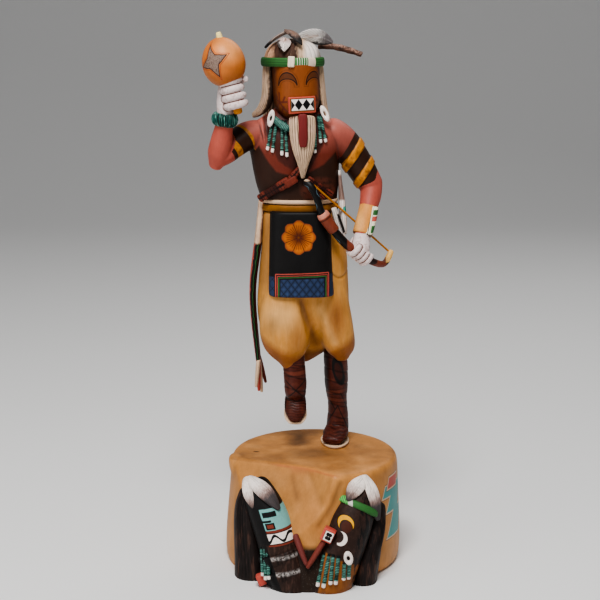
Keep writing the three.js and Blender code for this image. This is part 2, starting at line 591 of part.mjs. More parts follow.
function stringShape(grow = 0) {
  return rod(STRING_TOP, STRING_FOOT, STRING_RADIUS + grow, 8);
}

function bowGeometry() {
  return geometryOf(solid(bowShape()).subtract(solid(stringShape(FIT_GAP))));
}

// A crown feather: root and tip, widest half width, half thickness and arch.
function feather(root, tip, wide, thick, arch, flat) {
  const stations = [];
  for (const [t, spread] of [[0, 0.3], [0.15, 0.62], [0.4, 0.95], [0.65, 1], [0.85, 0.7], [1, 0.14]]) {
    const p = root.clone().lerp(tip, t);
    stations.push([p.x, p.y, p.z + arch * 4 * t * (1 - t), wide * spread, thick * (1 - 0.4 * t)]);
  }
  return limb(stations, { sides: 6, along: flat, round: 0 });
}

const FEATHERS = {
  feather_left: feather(point(-19, 18, 380.8), point(-34.6, 11, 371.4), 2.6, 1.3, 2, point(0.5, -0.8, 0.3)),
  feather_front: feather(point(-21, 15.4, 376.5), point(-21.2, 0.8, 368.6), 5.4, 1.5, 2.6, point(1, 0, 0)),
  feather_middle: feather(point(-16, 15, 381.6), point(-7.6, 1.8, 372.8), 3.6, 1.5, 2.6, point(0.9, 0.5, 0)),
  feather_broad: feather(point(-11, 21, 378.2), point(13.2, 15, 375.2), 6.8, 2, 2.6,
    point(0.15, -0.45, 0.88)),
};

function plumeGeometry() {
  return limb([[3.5, 25, 371.6, 2.6, 2.2], [14, 23, 371.6, 2.7, 2.2], [25, 22, 368.8, 2.6, 2.1],
    [33.6, 22, 365.8, 2.3, 1.9]], { sides: 8, along: point(0, 0, 1), round: 0.4,
    relief: (angle, t) => 1 + 0.08 * Math.cos(5 * angle + 7 * t) });
}

// Feathers stand a fit gap clear of the crown and of the feathers under them.
function crownPieces(under) {
  const taken = [...under];
  const pieces = {};
  for (const [name, geometry] of Object.entries({ ...FEATHERS, plume: plumeGeometry() })) {
    const blocks = taken.map(solid);
    const cut = blocks.reduce((body, block) => body.subtract(block), solid(geometry));
    pieces[name] = geometryOf(cut);
    taken.push(grown(geometry, FIT_GAP));
  }
  return pieces;
}

// The same body pushed out along its point normals.
function grown(geometry, distance) {
  const wide = pointsOnly(geometry);
  wide.computeVertexNormals();
  const places = wide.attributes.position;
  const normals = wide.attributes.normal;
  for (let i = 0; i < places.count; i += 1) {
    places.setXYZ(i, places.getX(i) + normals.getX(i) * distance, places.getY(i) + normals.getY(i) * distance,
      places.getZ(i) + normals.getZ(i) * distance);
  }
  return wide;
}

// ---------- the doll ----------

const PAINT_ROUGHNESS = 0.62;

function piece(name, geometry, color) {
  const paint = new THREE.MeshStandardMaterial({ color, roughness: PAINT_ROUGHNESS, metalness: 0 });
  const mesh = new THREE.Mesh(geometry, paint);
  mesh.name = name;
  return mesh;
}

const group = new THREE.Group();
group.add(piece('base', baseGeometry(), 0xb97a3c));
group.add(piece('figure', figureGeometry(), 0xb06a33));
group.add(piece('rattle_gourd', gourdGeometry(), 0xd98a4e));
group.add(piece('rattle_stick', stickGeometry(), 0xe0c078));
group.add(piece('bow', bowGeometry(), 0x2a2422));
group.add(piece('bowstring', stringShape(), 0xc98a3a));
const featherColors = { feather_left: 0x77716b, feather_front: 0xd8c4ba, feather_middle: 0x6a5c52,
  feather_broad: 0xb9b3ac, plume: 0x7d6555 };
for (const [name, geometry] of Object.entries(crownPieces(hood().map(part => grown(part, FIT_GAP))))) {
  group.add(piece(name, geometry, featherColors[name]));
}

export default group;
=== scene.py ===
"""A carved and painted wooden kachina doll, dancing on a base with two mask heads in relief.

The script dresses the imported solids, which are loaded as a fixed frame. It is laid out as an
add-on: sizes and colours are properties, and each group of pieces has an operator.
Places and sizes are in millimetres until they become points, which are in metres.
"""

import math

import bmesh
import bpy
import numpy as np
from bpy.props import FloatProperty, FloatVectorProperty, PointerProperty
from mathutils import Euler, Matrix, Vector


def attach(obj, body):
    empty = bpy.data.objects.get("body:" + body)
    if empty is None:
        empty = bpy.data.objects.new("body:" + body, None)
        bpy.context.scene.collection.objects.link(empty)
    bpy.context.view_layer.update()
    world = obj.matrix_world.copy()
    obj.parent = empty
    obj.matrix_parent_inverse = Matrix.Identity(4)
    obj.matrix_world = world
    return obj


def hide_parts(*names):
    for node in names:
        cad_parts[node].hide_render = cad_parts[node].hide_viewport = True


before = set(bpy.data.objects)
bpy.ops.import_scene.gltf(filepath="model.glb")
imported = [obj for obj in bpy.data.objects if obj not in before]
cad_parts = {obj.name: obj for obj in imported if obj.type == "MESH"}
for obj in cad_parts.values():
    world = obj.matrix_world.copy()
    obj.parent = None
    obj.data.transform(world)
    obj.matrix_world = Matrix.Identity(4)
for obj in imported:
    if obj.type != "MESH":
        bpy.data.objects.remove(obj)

bl_info = {
    "name": "Kachina Doll",
    "version": (1, 0, 0),
    "blender": (4, 5, 0),
    "location": "View3D > Sidebar > Kachina Doll",
    "description": "Builds a carved and painted dancing doll on its relief base",
    "category": "Add Mesh",
}

MM = 0.001
TURN = 2 * math.pi
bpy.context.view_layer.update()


# ---------- forms ----------

def bow(value, power):
    """value pulled towards -1 or 1, so that an oval section can be squarer."""
    return math.copysign(abs(value) ** (2 / power), value)


def deselect():
    bpy.ops.object.select_all(action='DESELECT')


def only(piece):
    """Selects one piece and makes it active."""
    deselect()
    piece.select_set(True)
    bpy.context.view_layer.objects.active = piece


def modify(piece, kind, **values):
    """Adds a modifier with these values and applies it."""
    only(piece)
    modifier = piece.modifiers.new(kind.title(), kind)
    for name, value in values.items():
        setattr(modifier, name, value)
    bpy.ops.object.modifier_apply(modifier=modifier.name)


def subdivide(piece, levels):
    if levels:
        modify(piece, 'SUBSURF', levels=levels, render_levels=levels)


def smooth_shaded(piece):
    only(piece)
    bpy.ops.object.shade_smooth()
    return piece


def place_ring(mesh, points, reach):
    """Moves the selected face's corners to these points, and notes their angle and reach."""
    edit = bmesh.from_edit_mesh(mesh)
    layer = edit.verts.layers.float_vector.get("place") or edit.verts.layers.float_vector.new("place")
    face = next(f for f in edit.faces if f.select)
    count = len(points)
    for i, (vert, spot) in enumerate(zip(face.verts, points)):
        vert.co = spot * MM
        vert[layer] = (math.cos(TURN * i / count), math.sin(TURN * i / count), reach)
    bmesh.update_edit_mesh(mesh)


def rings_to_mesh(name, rings, reaches):
    """A closed skin: a circle that is extruded from ring to ring."""
    deselect()
    bpy.ops.mesh.primitive_circle_add(vertices=len(rings[0]), radius=MM, fill_type='NGON',
        enter_editmode=True)
    piece = bpy.context.object
    piece.name = piece.data.name = name
    bpy.ops.mesh.select_mode(type='FACE')
    bpy.ops.mesh.select_all(action='SELECT')
    place_ring(piece.data, rings[0], reaches[0])
    for ring, reach in zip(rings[1:], reaches[1:]):
        bpy.ops.mesh.extrude_region_move()
        place_ring(piece.data, ring, reach)
    bpy.ops.mesh.select_all(action='SELECT')
    bpy.ops.mesh.normals_make_consistent(inside=False)
    bpy.ops.object.mode_set(mode='OBJECT')
    piece.location = (0, 0, 0)
    return piece


def loft(name, stations, along=(1, 0, 0), sides=12, power=2.0, ends=0.7, levels=2, level_rings=False):
    """A closed limb through stations (x, y, z, half width, half depth), its width lying along a
    direction. Its ends are rounded by that share of their size, or flat with a firm edge at 0."""
    middles = [Vector(station[:3]) for station in stations]
    last = len(stations) - 1
    lengths = [0.0]
    for before, after in zip(middles, middles[1:]):
        lengths.append(lengths[-1] + (after - before).length)
    rings, reaches = [], []

    def add(k, push=0.0, shrink=1.0):
        forward = (middles[min(k + 1, last)] - middles[max(k - 1, 0)]).normalized()
        if level_rings:
            forward = Vector((0, 0, 1))
        across = (Vector(along) - forward * Vector(along).dot(forward)).normalized()
        over = forward.cross(across)
        wide, deep = stations[k][3:5]
        middle = middles[k] + forward * push * min(wide, deep)
        points = []
        for i in range(sides):
            angle = TURN * i / sides
            points.append(middle + across * wide * shrink * bow(math.cos(angle), power)
                + over * deep * shrink * bow(math.sin(angle), power))
        rings.append(points)
        reaches.append(lengths[k])

    if ends:
        add(0, -ends, 0.55)
        add(0, -ends * 0.55, 0.88)
    else:
        add(0, 0.0, 0.96)
    for k in range(last + 1):
        add(k)
    if ends:
        add(last, ends * 0.55, 0.88)
        add(last, ends, 0.55)
    else:
        add(last, 0.0, 0.96)
    piece = rings_to_mesh(name, rings, reaches)
    subdivide(piece, levels)
    return smooth_shaded(piece)


def upright(name, rows, sides=20, power=2.0, ends=0.0, levels=2):
    """An upright form of level rings, with rows of (z, x, y, half width, half depth)."""
    stations = [(x, y, z, wide, deep) for z, x, y, wide, deep in rows]
    return loft(name, stations, sides=sides, power=power, ends=ends, levels=levels, level_rings=True)


def block(name, centre, size, turn=(0, 0, 0), edge=0.4):
    """A cube primitive at its size and place, with bevelled edges."""
    deselect()
    bpy.ops.mesh.primitive_cube_add(size=1)
    piece = bpy.context.object
    piece.name = piece.data.name = name
    lean = Euler([math.radians(a) for a in turn]).to_matrix().to_4x4()
    scale = Matrix.Diagonal((*(Vector(size) * MM), 1))
    piece.data.transform(Matrix.Translation(Vector(centre) * MM) @ lean @ scale)
    modify(piece, 'BEVEL', width=edge * MM, segments=3)
    return smooth_shaded(piece)


def standing_ring(name, spot, lean, radii, segments, stretch):
    """A torus primitive that stands upright, stretched and then leaned by some degrees."""
    deselect()
    bpy.ops.mesh.primitive_torus_add(major_segments=segments[0], minor_segments=segments[1],
        major_radius=radii[0] * MM, minor_radius=radii[1] * MM)
    ring = bpy.context.object
    ring.name = ring.data.name = name
    ring.data.transform(Matrix.Translation(Vector(spot) * MM) @ Matrix.Rotation(math.radians(lean), 4, 'Y')
        @ Matrix.Rotation(math.radians(90), 4, 'X') @ Matrix.Diagonal((*stretch, 1)))
    return smooth_shaded(ring)


def remesh(piece, grain, rounds):
    """One skin of small even faces, softened by this many rounds."""
    modify(piece, 'REMESH', mode='VOXEL', voxel_size=grain * MM, use_smooth_shade=True)
    modify(piece, 'SMOOTH', factor=0.5, iterations=rounds)
    return smooth_shaded(piece)


def fuse(name, pieces, grain, rounds):
    """Overlapping bodies joined and made one skin, with the joints softened."""
    only(pieces[0])
    for piece in pieces:
        piece.select_set(True)
    bpy.ops.object.join()
    pieces[0].name = pieces[0].data.name = name
    return remesh(pieces[0], grain, rounds)


def cut_away(piece, tool):
    """Takes one closed form out of another, and removes it."""
    modify(piece, 'BOOLEAN', operation='DIFFERENCE', object=tool, solver='EXACT')
    bpy.data.objects.remove(tool)


# ---------- carving ----------

def numbers(layer, key, width=1, kind=float):
    """What each item of a mesh layer holds, in rows where it is more than one number."""
    flat = np.empty(len(layer) * width, dtype=kind)
    layer.foreach_get(key, flat)
    return flat.reshape(-1, width) if width > 1 else flat


def points_of(mesh):
    """The mesh's points in millimetres, one row each."""
    return numbers(mesh.vertices, "co", 3) / MM


def put_points(mesh, points):
    mesh.vertices.foreach_set("co", (points * MM).ravel())
    mesh.update()


def place_of(mesh):
    """Each point's angle round its loft, and its reach along it."""
    cosine, sine, reach = numbers(mesh.attributes["place"].data, "vector", 3).T
    return np.arctan2(sine, cosine), reach


def note(mesh, name, values):
    """Keeps one number or three for each point, for the paint to read."""
    values = np.asarray(values, dtype=float)
    kind = 'FLOAT' if values.ndim == 1 else 'FLOAT_VECTOR'
    layer = mesh.attributes.get(name) or mesh.attributes.new(name, kind, 'POINT')
    layer.data.foreach_set("value" if kind == 'FLOAT' else "vector", values.ravel())


def carve(piece, cut, full=None):
    """Lowers the surface along its normals by cut(points, angle, reach) in millimetres.
    The share of the full depth is kept as 'carved', where the colour is darkened: partly stain, partly
    painted shade."""
    mesh = piece.data
    points, normals = points_of(mesh), numbers(mesh.vertex_normals, "vector", 3)
    angle, reach = place_of(mesh) if "place" in mesh.attributes else np.zeros((2, len(points)))
    depth = cut(points, angle, reach)
    share = np.clip(depth / (full or max(float(np.abs(depth).max()), 1e-6)), 0, 1)
    if "carved" in mesh.attributes:
        share = np.maximum(share, numbers(mesh.attributes["carved"].data, "value"))
    note(mesh, "carved", share)
    put_points(mesh, points - normals * depth[:, None])


def note_hollows(piece, rounds=6, gain=2.6):
    """Adds to 'carved' how far each point lies under the surface round it; edges come out below zero. The
    colour is darkened in hollows, partly as stain and partly as painted shade, and raised edges get a
    little painted light.
    """
    mesh = piece.data
    points, count = points_of(mesh), len(mesh.vertices)
    first, second = numbers(mesh.edges, "vertices", 2, int).T
    near = np.maximum(np.bincount(first, minlength=count) + np.bincount(second, minlength=count), 1)
    smooth = points.copy()
    for _ in range(rounds):
        smooth = np.stack([(np.bincount(first, smooth[second, k], count)
            + np.bincount(second, smooth[first, k], count)) / near for k in range(3)], axis=1)
    depth = ((smooth - points) * numbers(mesh.vertex_normals, "vector", 3)).sum(axis=1) * gain
    share = np.where(depth > 0, depth, depth * 0.5)
    if "carved" in mesh.attributes:
        share = share + numbers(mesh.attributes["carved"].data, "value")
    note(mesh, "carved", np.clip(share, -0.25, 1))


def drift(value, seed):
    """A smooth wandering curve between about -1 and 1."""
    return (np.sin(value * 1.0 + seed * 2.1) + 0.6 * np.sin(value * 2.3 + seed * 5.3)
        + 0.35 * np.sin(value * 4.9 + seed * 1.7)) / 1.7


def mottle(points, size, seed):
    """A smooth uneven field over points, with lumps of about this size."""
    x, y, z = (points / size).T
    return (np.sin(1.7 * x + 0.9 * y + 1.3 * z + seed) + np.sin(-1.1 * x + 1.9 * y + 0.7 * z + 2.4 * seed)
        + np.sin(0.8 * x - 1.3 * y + 2.1 * z + 4.1 * seed)) / 3


def strands_cut(count, depth, seed):
    """Grooves that run along a loft, such as locks of hair. They wander a little."""
    def cut(points, angle, reach):
        bend = 0.35 * drift(reach / 14.0, seed) + 0.25 * drift(reach / 5.0, seed + 1)
        coarse = np.abs(np.sin(count / 2 * angle + bend + seed))
        fine = np.abs(np.sin(count * 1.37 * angle + 1.9 * bend + seed * 3.1))
        return depth * ((1 - coarse) ** 2 + 0.55 * (1 - fine) ** 2)
    return cut


def follow(piece, name, path):
    """Notes how far along a path each point lies, and how far from it, for bands on a limb."""
    points = points_of(piece.data)
    best = np.full(len(points), 1e9)
    reach = np.zeros(len(points))
    start = 0.0
    for a, b in zip(path, path[1:]):
        a, b = np.array(a[:3], float), np.array(b[:3], float)
        run = b - a
        length = np.linalg.norm(run)
        share = np.clip(((points - a) @ run) / length ** 2, 0, 1)
        gap = np.linalg.norm(points - (a + share[:, None] * run), axis=1)
        nearer = gap < best
        best = np.where(nearer, gap, best)
        reach = np.where(nearer, start + share * length, reach)
        start += length
    note(piece.data, name, np.stack([reach, best, np.zeros(len(points))], axis=1))


# ---------- paint ----------

def sizes():
    return bpy.context.scene.doll_sizes


def tone(paint):
    """Red, green and blue of a paint, which is three numbers or one of the doll's colours by name."""
    return getattr(bpy.context.scene.doll_colours, paint) if isinstance(paint, str) else paint


def dim(paint, share):
    return [share * c for c in tone(paint)]


def feed(tree, socket, value):
    """Sets a node's input from a shade, from another node's output or from a plain value."""
    value = value.socket if isinstance(value, Shade) else value
    if isinstance(value, bpy.types.NodeSocket):
        tree.links.new(value, socket)
    else:
        socket.default_value = value


class Shade:
    """A number that changes over a surface. Arithmetic on it adds Math nodes."""

    def __init__(self, tree, socket):
        self.tree = tree
        self.socket = socket

    def math(self, operation, *others):
        node = self.tree.nodes.new("ShaderNodeMath")
        node.operation = operation
        for socket, value in zip(node.inputs, (self, *others)):
            feed(self.tree, socket, value)
        return Shade(self.tree, node.outputs[0])

    __add__ = __radd__ = lambda self, other: self.math('ADD', other)
    __mul__ = __rmul__ = lambda self, other: self.math('MULTIPLY', other)
    __sub__ = lambda self, other: self.math('SUBTRACT', other)
    __rsub__ = lambda self, other: -self + other
    __truediv__ = lambda self, other: self.math('DIVIDE', other)
    __neg__ = lambda self: self.math('MULTIPLY', -1.0)
    __abs__ = lambda self: self.math('ABSOLUTE')

    def least(self, *others):
        result = self
        for other in others:
            result = result.math('MINIMUM', other)
        return result

    def most(self, *others):
        result = self
        for other in others:
            result = result.math('MAXIMUM', other)
        return result

    def clamped(self):
        result = self.math('MULTIPLY', 1.0)
        result.socket.node.use_clamp = True
        return result

    def folded(self, length):
        """Distance from the nearest whole multiple of length."""
        return abs(self.math('PINGPONG', length / 2))


def length_of(a, b):
    return (a * a + b * b).math('SQRT')


def inside(gap, soft=0.35):
    """A mask that is 1 where a gap is below 0, with an edge this soft."""
    return (0.5 - gap / soft).clamped()


def between(value, low, high, soft=0.35):
    return inside(abs(value - (low + high) / 2) - abs(high - low) / 2, soft)


def box_gap(a, b, centre, half):
    """How far outside a flat box a place lies, below 0 inside."""
    return (abs(a - centre[0]) - half[0]).most(abs(b - centre[1]) - half[1])


def line_gap(a, b, start, end, half):
    """How far a place lies outside a thick line from start to end."""
    run_a, run_b = end[0] - start[0], end[1] - start[1]
    square = run_a ** 2 + run_b ** 2
    share = (((a - start[0]) * run_a + (b - start[1]) * run_b) / square).clamped()
    return length_of(a - start[0] - share * run_a, b - start[1] - share * run_b) - half


def oval_gap(a, b, centre, half):
    return (length_of((a - centre[0]) / half[0], (b - centre[1]) / half[1]) - 1) * min(half)


def oval(a, b, centre, half, soft):
    """A mask that is 1 inside a flat oval, with an edge this soft."""
    return inside(oval_gap(a, b, centre, half), soft)


def stroke(a, b, start, end, half, soft):
    """A mask that is 1 on a thick line from start to end, with an edge this soft."""
    return inside(line_gap(a, b, start, end, half), soft)


def lean_above(a, b, start, end):
    """How far a place lies above the line from start to end."""
    run_a, run_b = end[0] - start[0], end[1] - start[1]
    length = math.hypot(run_a, run_b)
    return ((b - start[1]) * run_a - (a - start[0]) * run_b) / length


def group_with(name, inputs, outputs):
    """A new shader group with named sockets."""
    tree = bpy.data.node_groups.new(name, 'ShaderNodeTree')
    for label, kind, default in inputs:
        socket = tree.interface.new_socket(label, in_out='INPUT', socket_type=kind)
        if default is not None:
            socket.default_value = default
    for label, kind in outputs:
        tree.interface.new_socket(label, in_out='OUTPUT', socket_type=kind)
    return tree, tree.nodes.new("NodeGroupInput"), tree.nodes.new("NodeGroupOutput")


def noise_in(tree, place, scale, stretch=(1, 1, 1), detail=3.0, roughness=0.55):
    """A noise value over a place, stretched along each axis."""
    mapping = tree.nodes.new("ShaderNodeMapping")
    mapping.inputs["Scale"].default_value = stretch
    tree.links.new(place, mapping.inputs["Vector"])
    noise = tree.nodes.new("ShaderNodeTexNoise")
    noise.inputs["Scale"].default_value = scale
    noise.inputs["Detail"].default_value = detail
    noise.inputs["Roughness"].default_value = roughness
    tree.links.new(mapping.outputs[0], noise.inputs["Vector"])
    return Shade(tree, noise.outputs["Fac"])


def mixed(tree, under, over, mask):
    """One colour laid over another through a mask."""
    node = tree.nodes.new("ShaderNodeMix")
    node.data_type = 'RGBA'
    feed(tree, node.inputs[0], mask)
    for key, value in ((6, under), (7, over)):
        feed(tree, node.inputs[key], value if isinstance(value, bpy.types.NodeSocket)
            else (*tone(value), 1))
    return node.outputs[2]


def vector_math(tree, operation, values):
    """The outcome of a vector node, from the values by its inputs' places or names."""
    node = tree.nodes.new("ShaderNodeVectorMath")
    node.operation = operation
    for key, value in values.items():
        feed(tree, node.inputs[key], value)
    return node.outputs[0]


def wood_surface_group():
    """Grain streaks, uneven stain, darkening in the carving that is partly stain and partly painted shade,
    raised edges a little lighter as painted light, and a fine rough height.
    """
    tree, given, made = group_with("wood_surface", [
        ("Colour", 'NodeSocketColor', (0.5, 0.5, 0.5, 1)), ("Place", 'NodeSocketVector', None),
        ("Carved", 'NodeSocketFloat', 0.0), ("Grain", 'NodeSocketFloat', 0.2),
        ("Uneven", 'NodeSocketFloat', 0.2), ("Wash", 'NodeSocketFloat', 0.6),
    ], [("Colour", 'NodeSocketColor'), ("Height", 'NodeSocketFloat')])
    place = given.outputs["Place"]
    value = lambda name: Shade(tree, given.outputs[name])
    streaks = noise_in(tree, place, 1.0, (1.1, 1.1, 0.07), 4.0, 0.6)
    lumps = noise_in(tree, place, 0.11, (1, 1, 0.6), 3.0)
    light = 1 + (streaks - 0.5) * value("Grain") * 2 + (lumps - 0.5) * value("Uneven") * 2
    # painted shade: darker where the carving is deep, partly for stain settled there; raised edges a little
    # lighter as painted light
    light = light * (1 - value("Carved") * value("Wash"))
    feed(tree, made.inputs["Colour"], vector_math(tree, 'SCALE',
        {0: given.outputs["Colour"], "Scale": light}))
    fine = noise_in(tree, place, 2.2, (1, 1, 0.25), 4.0, 0.6)
    feed(tree, made.inputs["Height"], fine + streaks * 0.6)


def brush_edge_group():
    """A place that wanders a little, so that painted edges look laid on by hand."""
    tree, given, made = group_with("brush_edge", [
        ("Place", 'NodeSocketVector', None), ("Wander", 'NodeSocketFloat', 0.3),
        ("Size", 'NodeSocketFloat', 0.35)], [("Place", 'NodeSocketVector')])
    noise = tree.nodes.new("ShaderNodeTexNoise")
    noise.inputs["Detail"].default_value = 2.0
    feed(tree, noise.inputs["Vector"], given.outputs["Place"])
    feed(tree, noise.inputs["Scale"], given.outputs["Size"])
    centred = vector_math(tree, 'SUBTRACT', {0: noise.outputs["Color"], 1: (0.5, 0.5, 0.5)})
    scaled = vector_math(tree, 'SCALE', {0: centred, "Scale": Shade(tree, given.outputs["Wander"]) * 2})
    feed(tree, made.inputs["Place"], vector_math(tree, 'ADD', {0: given.outputs["Place"], 1: scaled}))


class Coat:
    """One paint finish under construction: a ground colour, then layers through masks."""

    def __init__(self, name, ground, wander=0.3):
        self.material = bpy.data.materials.new(name)
        self.material.use_nodes = True
        self.tree = self.material.node_tree
        coordinates = self.tree.nodes.new("ShaderNodeTexCoord").outputs["Object"]
        self.millimetres = vector_math(self.tree, 'SCALE', {0: coordinates, "Scale": 1 / MM})
        self.wander = wander
        plain = self.tree.nodes.new("ShaderNodeRGB")
        plain.outputs[0].default_value = (*tone(ground), 1)
        self.colour = plain.outputs[0]

    def _hand_laid(self, vector):
        if not self.wander:
            return vector
        node = self.tree.nodes.new("ShaderNodeGroup")
        node.node_tree = bpy.data.node_groups["brush_edge"]
        node.inputs["Wander"].default_value = self.wander
        self.tree.links.new(vector, node.inputs["Place"])
        return node.outputs["Place"]

    def _split(self, vector):
        node = self.tree.nodes.new("ShaderNodeSeparateXYZ")
        self.tree.links.new(vector, node.inputs[0])
        return [Shade(self.tree, output) for output in node.outputs]

    def place(self):
        """x, y and z in millimetres, wandering as a brush does."""
        return self._split(self._hand_laid(self.millimetres))

    def attribute(self, name):
        """The three numbers that the mesh keeps under this name."""
        node = self.tree.nodes.new("ShaderNodeAttribute")
        node.attribute_name = name
        return self._split(self._hand_laid(node.outputs["Vector"]))

    def number(self, name):
        node = self.tree.nodes.new("ShaderNodeAttribute")
        node.attribute_name = name
        return Shade(self.tree, node.outputs["Fac"])

    def noise(self, scale, stretch=(1, 1, 1), detail=3.0):
        return noise_in(self.tree, self.millimetres, scale, stretch, detail)

    def specks(self, above, gain, *scale, **options):
        """A mask that is 1 where the noise rises well above this value."""
        return ((self.noise(*scale, **options) - above) * gain).clamped()

    def lay(self, paint, mask):
        """Lays a paint over what is there, where the mask is 1."""
        self.colour = mixed(self.tree, self.colour, paint, mask)

    def done(self, roughness=0.55, grain=0.16, uneven=0.16, wash=0.6, bump=0.25):
        """Adds the wood surface and the shader, and gives the material."""
        tree = self.tree
        surface = tree.nodes.new("ShaderNodeGroup")
        surface.node_tree = bpy.data.node_groups["wood_surface"]
        # how dark the hollows get: partly stain, partly painted shade
        for name, value in (("Grain", grain), ("Uneven", uneven), ("Wash", wash), ("Colour", self.colour),
                ("Place", self.millimetres), ("Carved", self.number("carved"))):
            feed(tree, surface.inputs[name], value)
        bumped = tree.nodes.new("ShaderNodeBump")
        bumped.inputs["Strength"].default_value = bump
        bumped.inputs["Distance"].default_value = 0.4 * MM
        tree.links.new(surface.outputs["Height"], bumped.inputs["Height"])
        shader = tree.nodes["Principled BSDF"]
        for name, value in (("Roughness", roughness), ("Specular IOR Level", 0.2), ("Coat Roughness", 0.35),
                ("Base Color", surface.outputs["Colour"]), ("Normal", bumped.outputs[0])):
            feed(tree, shader.inputs[name], value)
        return self.material


def plain_paint(name, colour, **finish):
    return Coat(name, colour).done(**finish)


BASE = ("base", "base_wood")


def finish_piece(piece, material, node="figure", slot="figure_wood"):
    """Gives a piece its paint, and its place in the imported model."""
    note_hollows(piece)
    piece.data.materials.clear()
    piece.data.materials.append(material)
    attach(piece, "root")
    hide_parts(node)
    return piece


def limb(name, rows, paint, *place, make=loft, cut=None, flat=False, **form):
    """Makes a piece, carves it, sets it flat on the floor where that is asked, and finishes it."""
    piece = make(name, rows, **form)
    if cut:
        carve(piece, cut)
    return finish_piece(cut_flat(piece) if flat else piece, paint, *place)


# ---------- sizes and colours ----------

def size(label, default, about):
    return FloatProperty(name=label, default=default, description=about, precision=2)


def colour(label, rgb, about):
    return FloatVectorProperty(name=label, default=rgb, description=about, subtype='COLOR',
        size=3, min=0, max=1)


class DollSizes(bpy.types.PropertyGroup):
    """Sizes of the doll, in millimetres and degrees."""
    base_radius: size("Base radius", 61.2, "Half width of the root at its top, in millimetres")
    head_radius: size("Mask radius", 16.8, "Half width of the case mask, in millimetres")
    head_turn: size("Mask turn", 12.0, "How far the mask looks to the doll's left, in degrees")
    head_roll: size("Mask tilt", 2.5, "How far the mask leans to the doll's right, in degrees")
    hair_depth: size("Hair groove depth", 0.5, "How deep the locks of hair are cut, in millimetres")
    fold_depth: size("Kilt fold depth", 1.6, "How deep the hollows of the kilt are, in millimetres")
    finger_radius: size("Finger radius", 2.9, "Half thickness of a carved finger, in millimetres")
    bead_size: size("Bead length", 1.15, "Length of one painted bead on a strand, in millimetres")
    feather_thickness: size("Feather thickness", 1.3, "Half thickness of a carved feather, in millimetres")


class DollColours(bpy.types.PropertyGroup):
    """Paints and stains of the doll."""
    base_wood: colour("Base wood", (0.4, 0.175, 0.05), "Varnished cottonwood of the base")
    base_pale: colour("Base light", (0.52, 0.25, 0.085), "Paler stain on the base's edges")
    base_red: colour("Base edge", (0.33, 0.085, 0.03), "Reddish stain along the facet's edge")
    motif: colour("Stepped figure", (0.065, 0.25, 0.24), "Turquoise steps on the side of the base")
    # dark brown: stain in the clouds on the top, and also painted shadow and painted shade on the top and
    # the facet
    base_dark: colour("Base shade", (0.13, 0.055, 0.02), "Stain in the hollows of the base")
    mask_wood: colour("Mask", (0.195, 0.054, 0.013), "Stained face of the dancer's mask")
    eye_line: colour("Eye line", (0.09, 0.018, 0.01), "Thin dark red lines on the mask")
    # the bracelet's pale flecks, and also a painted highlight across each bead of a strand
    bead_pale: colour("Bead light", (0.2, 0.42, 0.34), "Pale edges of the turquoise beads")
    # brown strokes of the parting, and also painted shade along the cap's edge
    cap_brown: colour("Cap parting", (0.05, 0.022, 0.013), "Brown strokes on the cap")
    skin_red: colour("Body red", (0.125, 0.022, 0.012), "Brick-red paint of the chest")
    # painted light: the paler red towards the tops of the shoulders, and a highlight on one
    skin_pink: colour("Shoulder red", (0.44, 0.125, 0.095), "Paler red on the tops of the shoulders")
    forearm: colour("Forearm red", (0.38, 0.08, 0.055), "Red paint of the forearms")
    skin_dark: colour("Body brown", (0.028, 0.01, 0.005), "Dark brown paint of chest and arms")
    ochre: colour("Ochre", (0.44, 0.165, 0.018), "Bands and belt")
    flower: colour("Flower", (0.3, 0.08, 0.01), "Orange-brown petals on the apron")
    leather: colour("Kilt", (0.52, 0.235, 0.055), "Tan stain of the kilt")
    cuff: colour("Cuff", (0.52, 0.215, 0.05), "Tan leather of the cuff")
    plate_white: colour("Plate white", (0.68, 0.64, 0.48), "Warm white of the cuff's plate")
    # the kilt's paler grain, and also painted highlights on the kilt and the cuff
    leather_pale: colour("Kilt light", (0.66, 0.37, 0.14), "Paler grain of the kilt")
    # painted shade in the kilt's hollows and under the apron, and the kilt's darker lower edge
    leather_red: colour("Kilt shade", (0.22, 0.065, 0.018), "Reddish stain in the kilt's hollows")
    # worn specks, and also painted highlights on the boots' creases and shin
    boot_pale: colour("Boot light", (0.098, 0.024, 0.013), "Worn red-brown of the moccasins")
    boot: colour("Boots", (0.06, 0.012, 0.007), "Red-brown moccasins")
    black: colour("Black", (0.0049, 0.0042, 0.0042), "Black paint")
    white: colour("White", (0.72, 0.64, 0.58), "White paint")
    cream: colour("Cream", (0.52, 0.36, 0.24), "Hair and cords")
    red: colour("Red", (0.42, 0.07, 0.05), "Bright red paint")
    fur: colour("Fur", (0.022, 0.011, 0.008), "Dark brown fur and mask on the base")
    fur_red: colour("Fur red", (0.15, 0.028, 0.016), "Red-brown lines on the masks of the base")
    turquoise: colour("Turquoise", (0.00744, 0.0744, 0.0589), "Beads and necklace")
    pale_turquoise: colour("Pale turquoise", (0.15, 0.338, 0.315), "Relief mask and pattern")
    green: colour("Green", (0.03, 0.115, 0.028), "Headbands and lines")
    blue: colour("Blue", (0.0175, 0.03, 0.07), "Apron's woven panel")
    star_grey: colour("Star", (0.2, 0.14, 0.11), "Grey-brown ground of the gourd's star")
    grip: colour("Bow grip", (0.16, 0.035, 0.018), "Red-brown leather round the bow")
    # a painted highlight at the top of the gourd
    gourd_pale: colour("Gourd light", (0.62, 0.27, 0.095), "Paler stain at the gourd's crown")
    gourd: colour("Gourd", (0.44, 0.135, 0.03), "Stained rattle")
    hand: colour("Hands", (0.66, 0.55, 0.53), "White paint of the hands")


# ---------- paints of this doll ----------

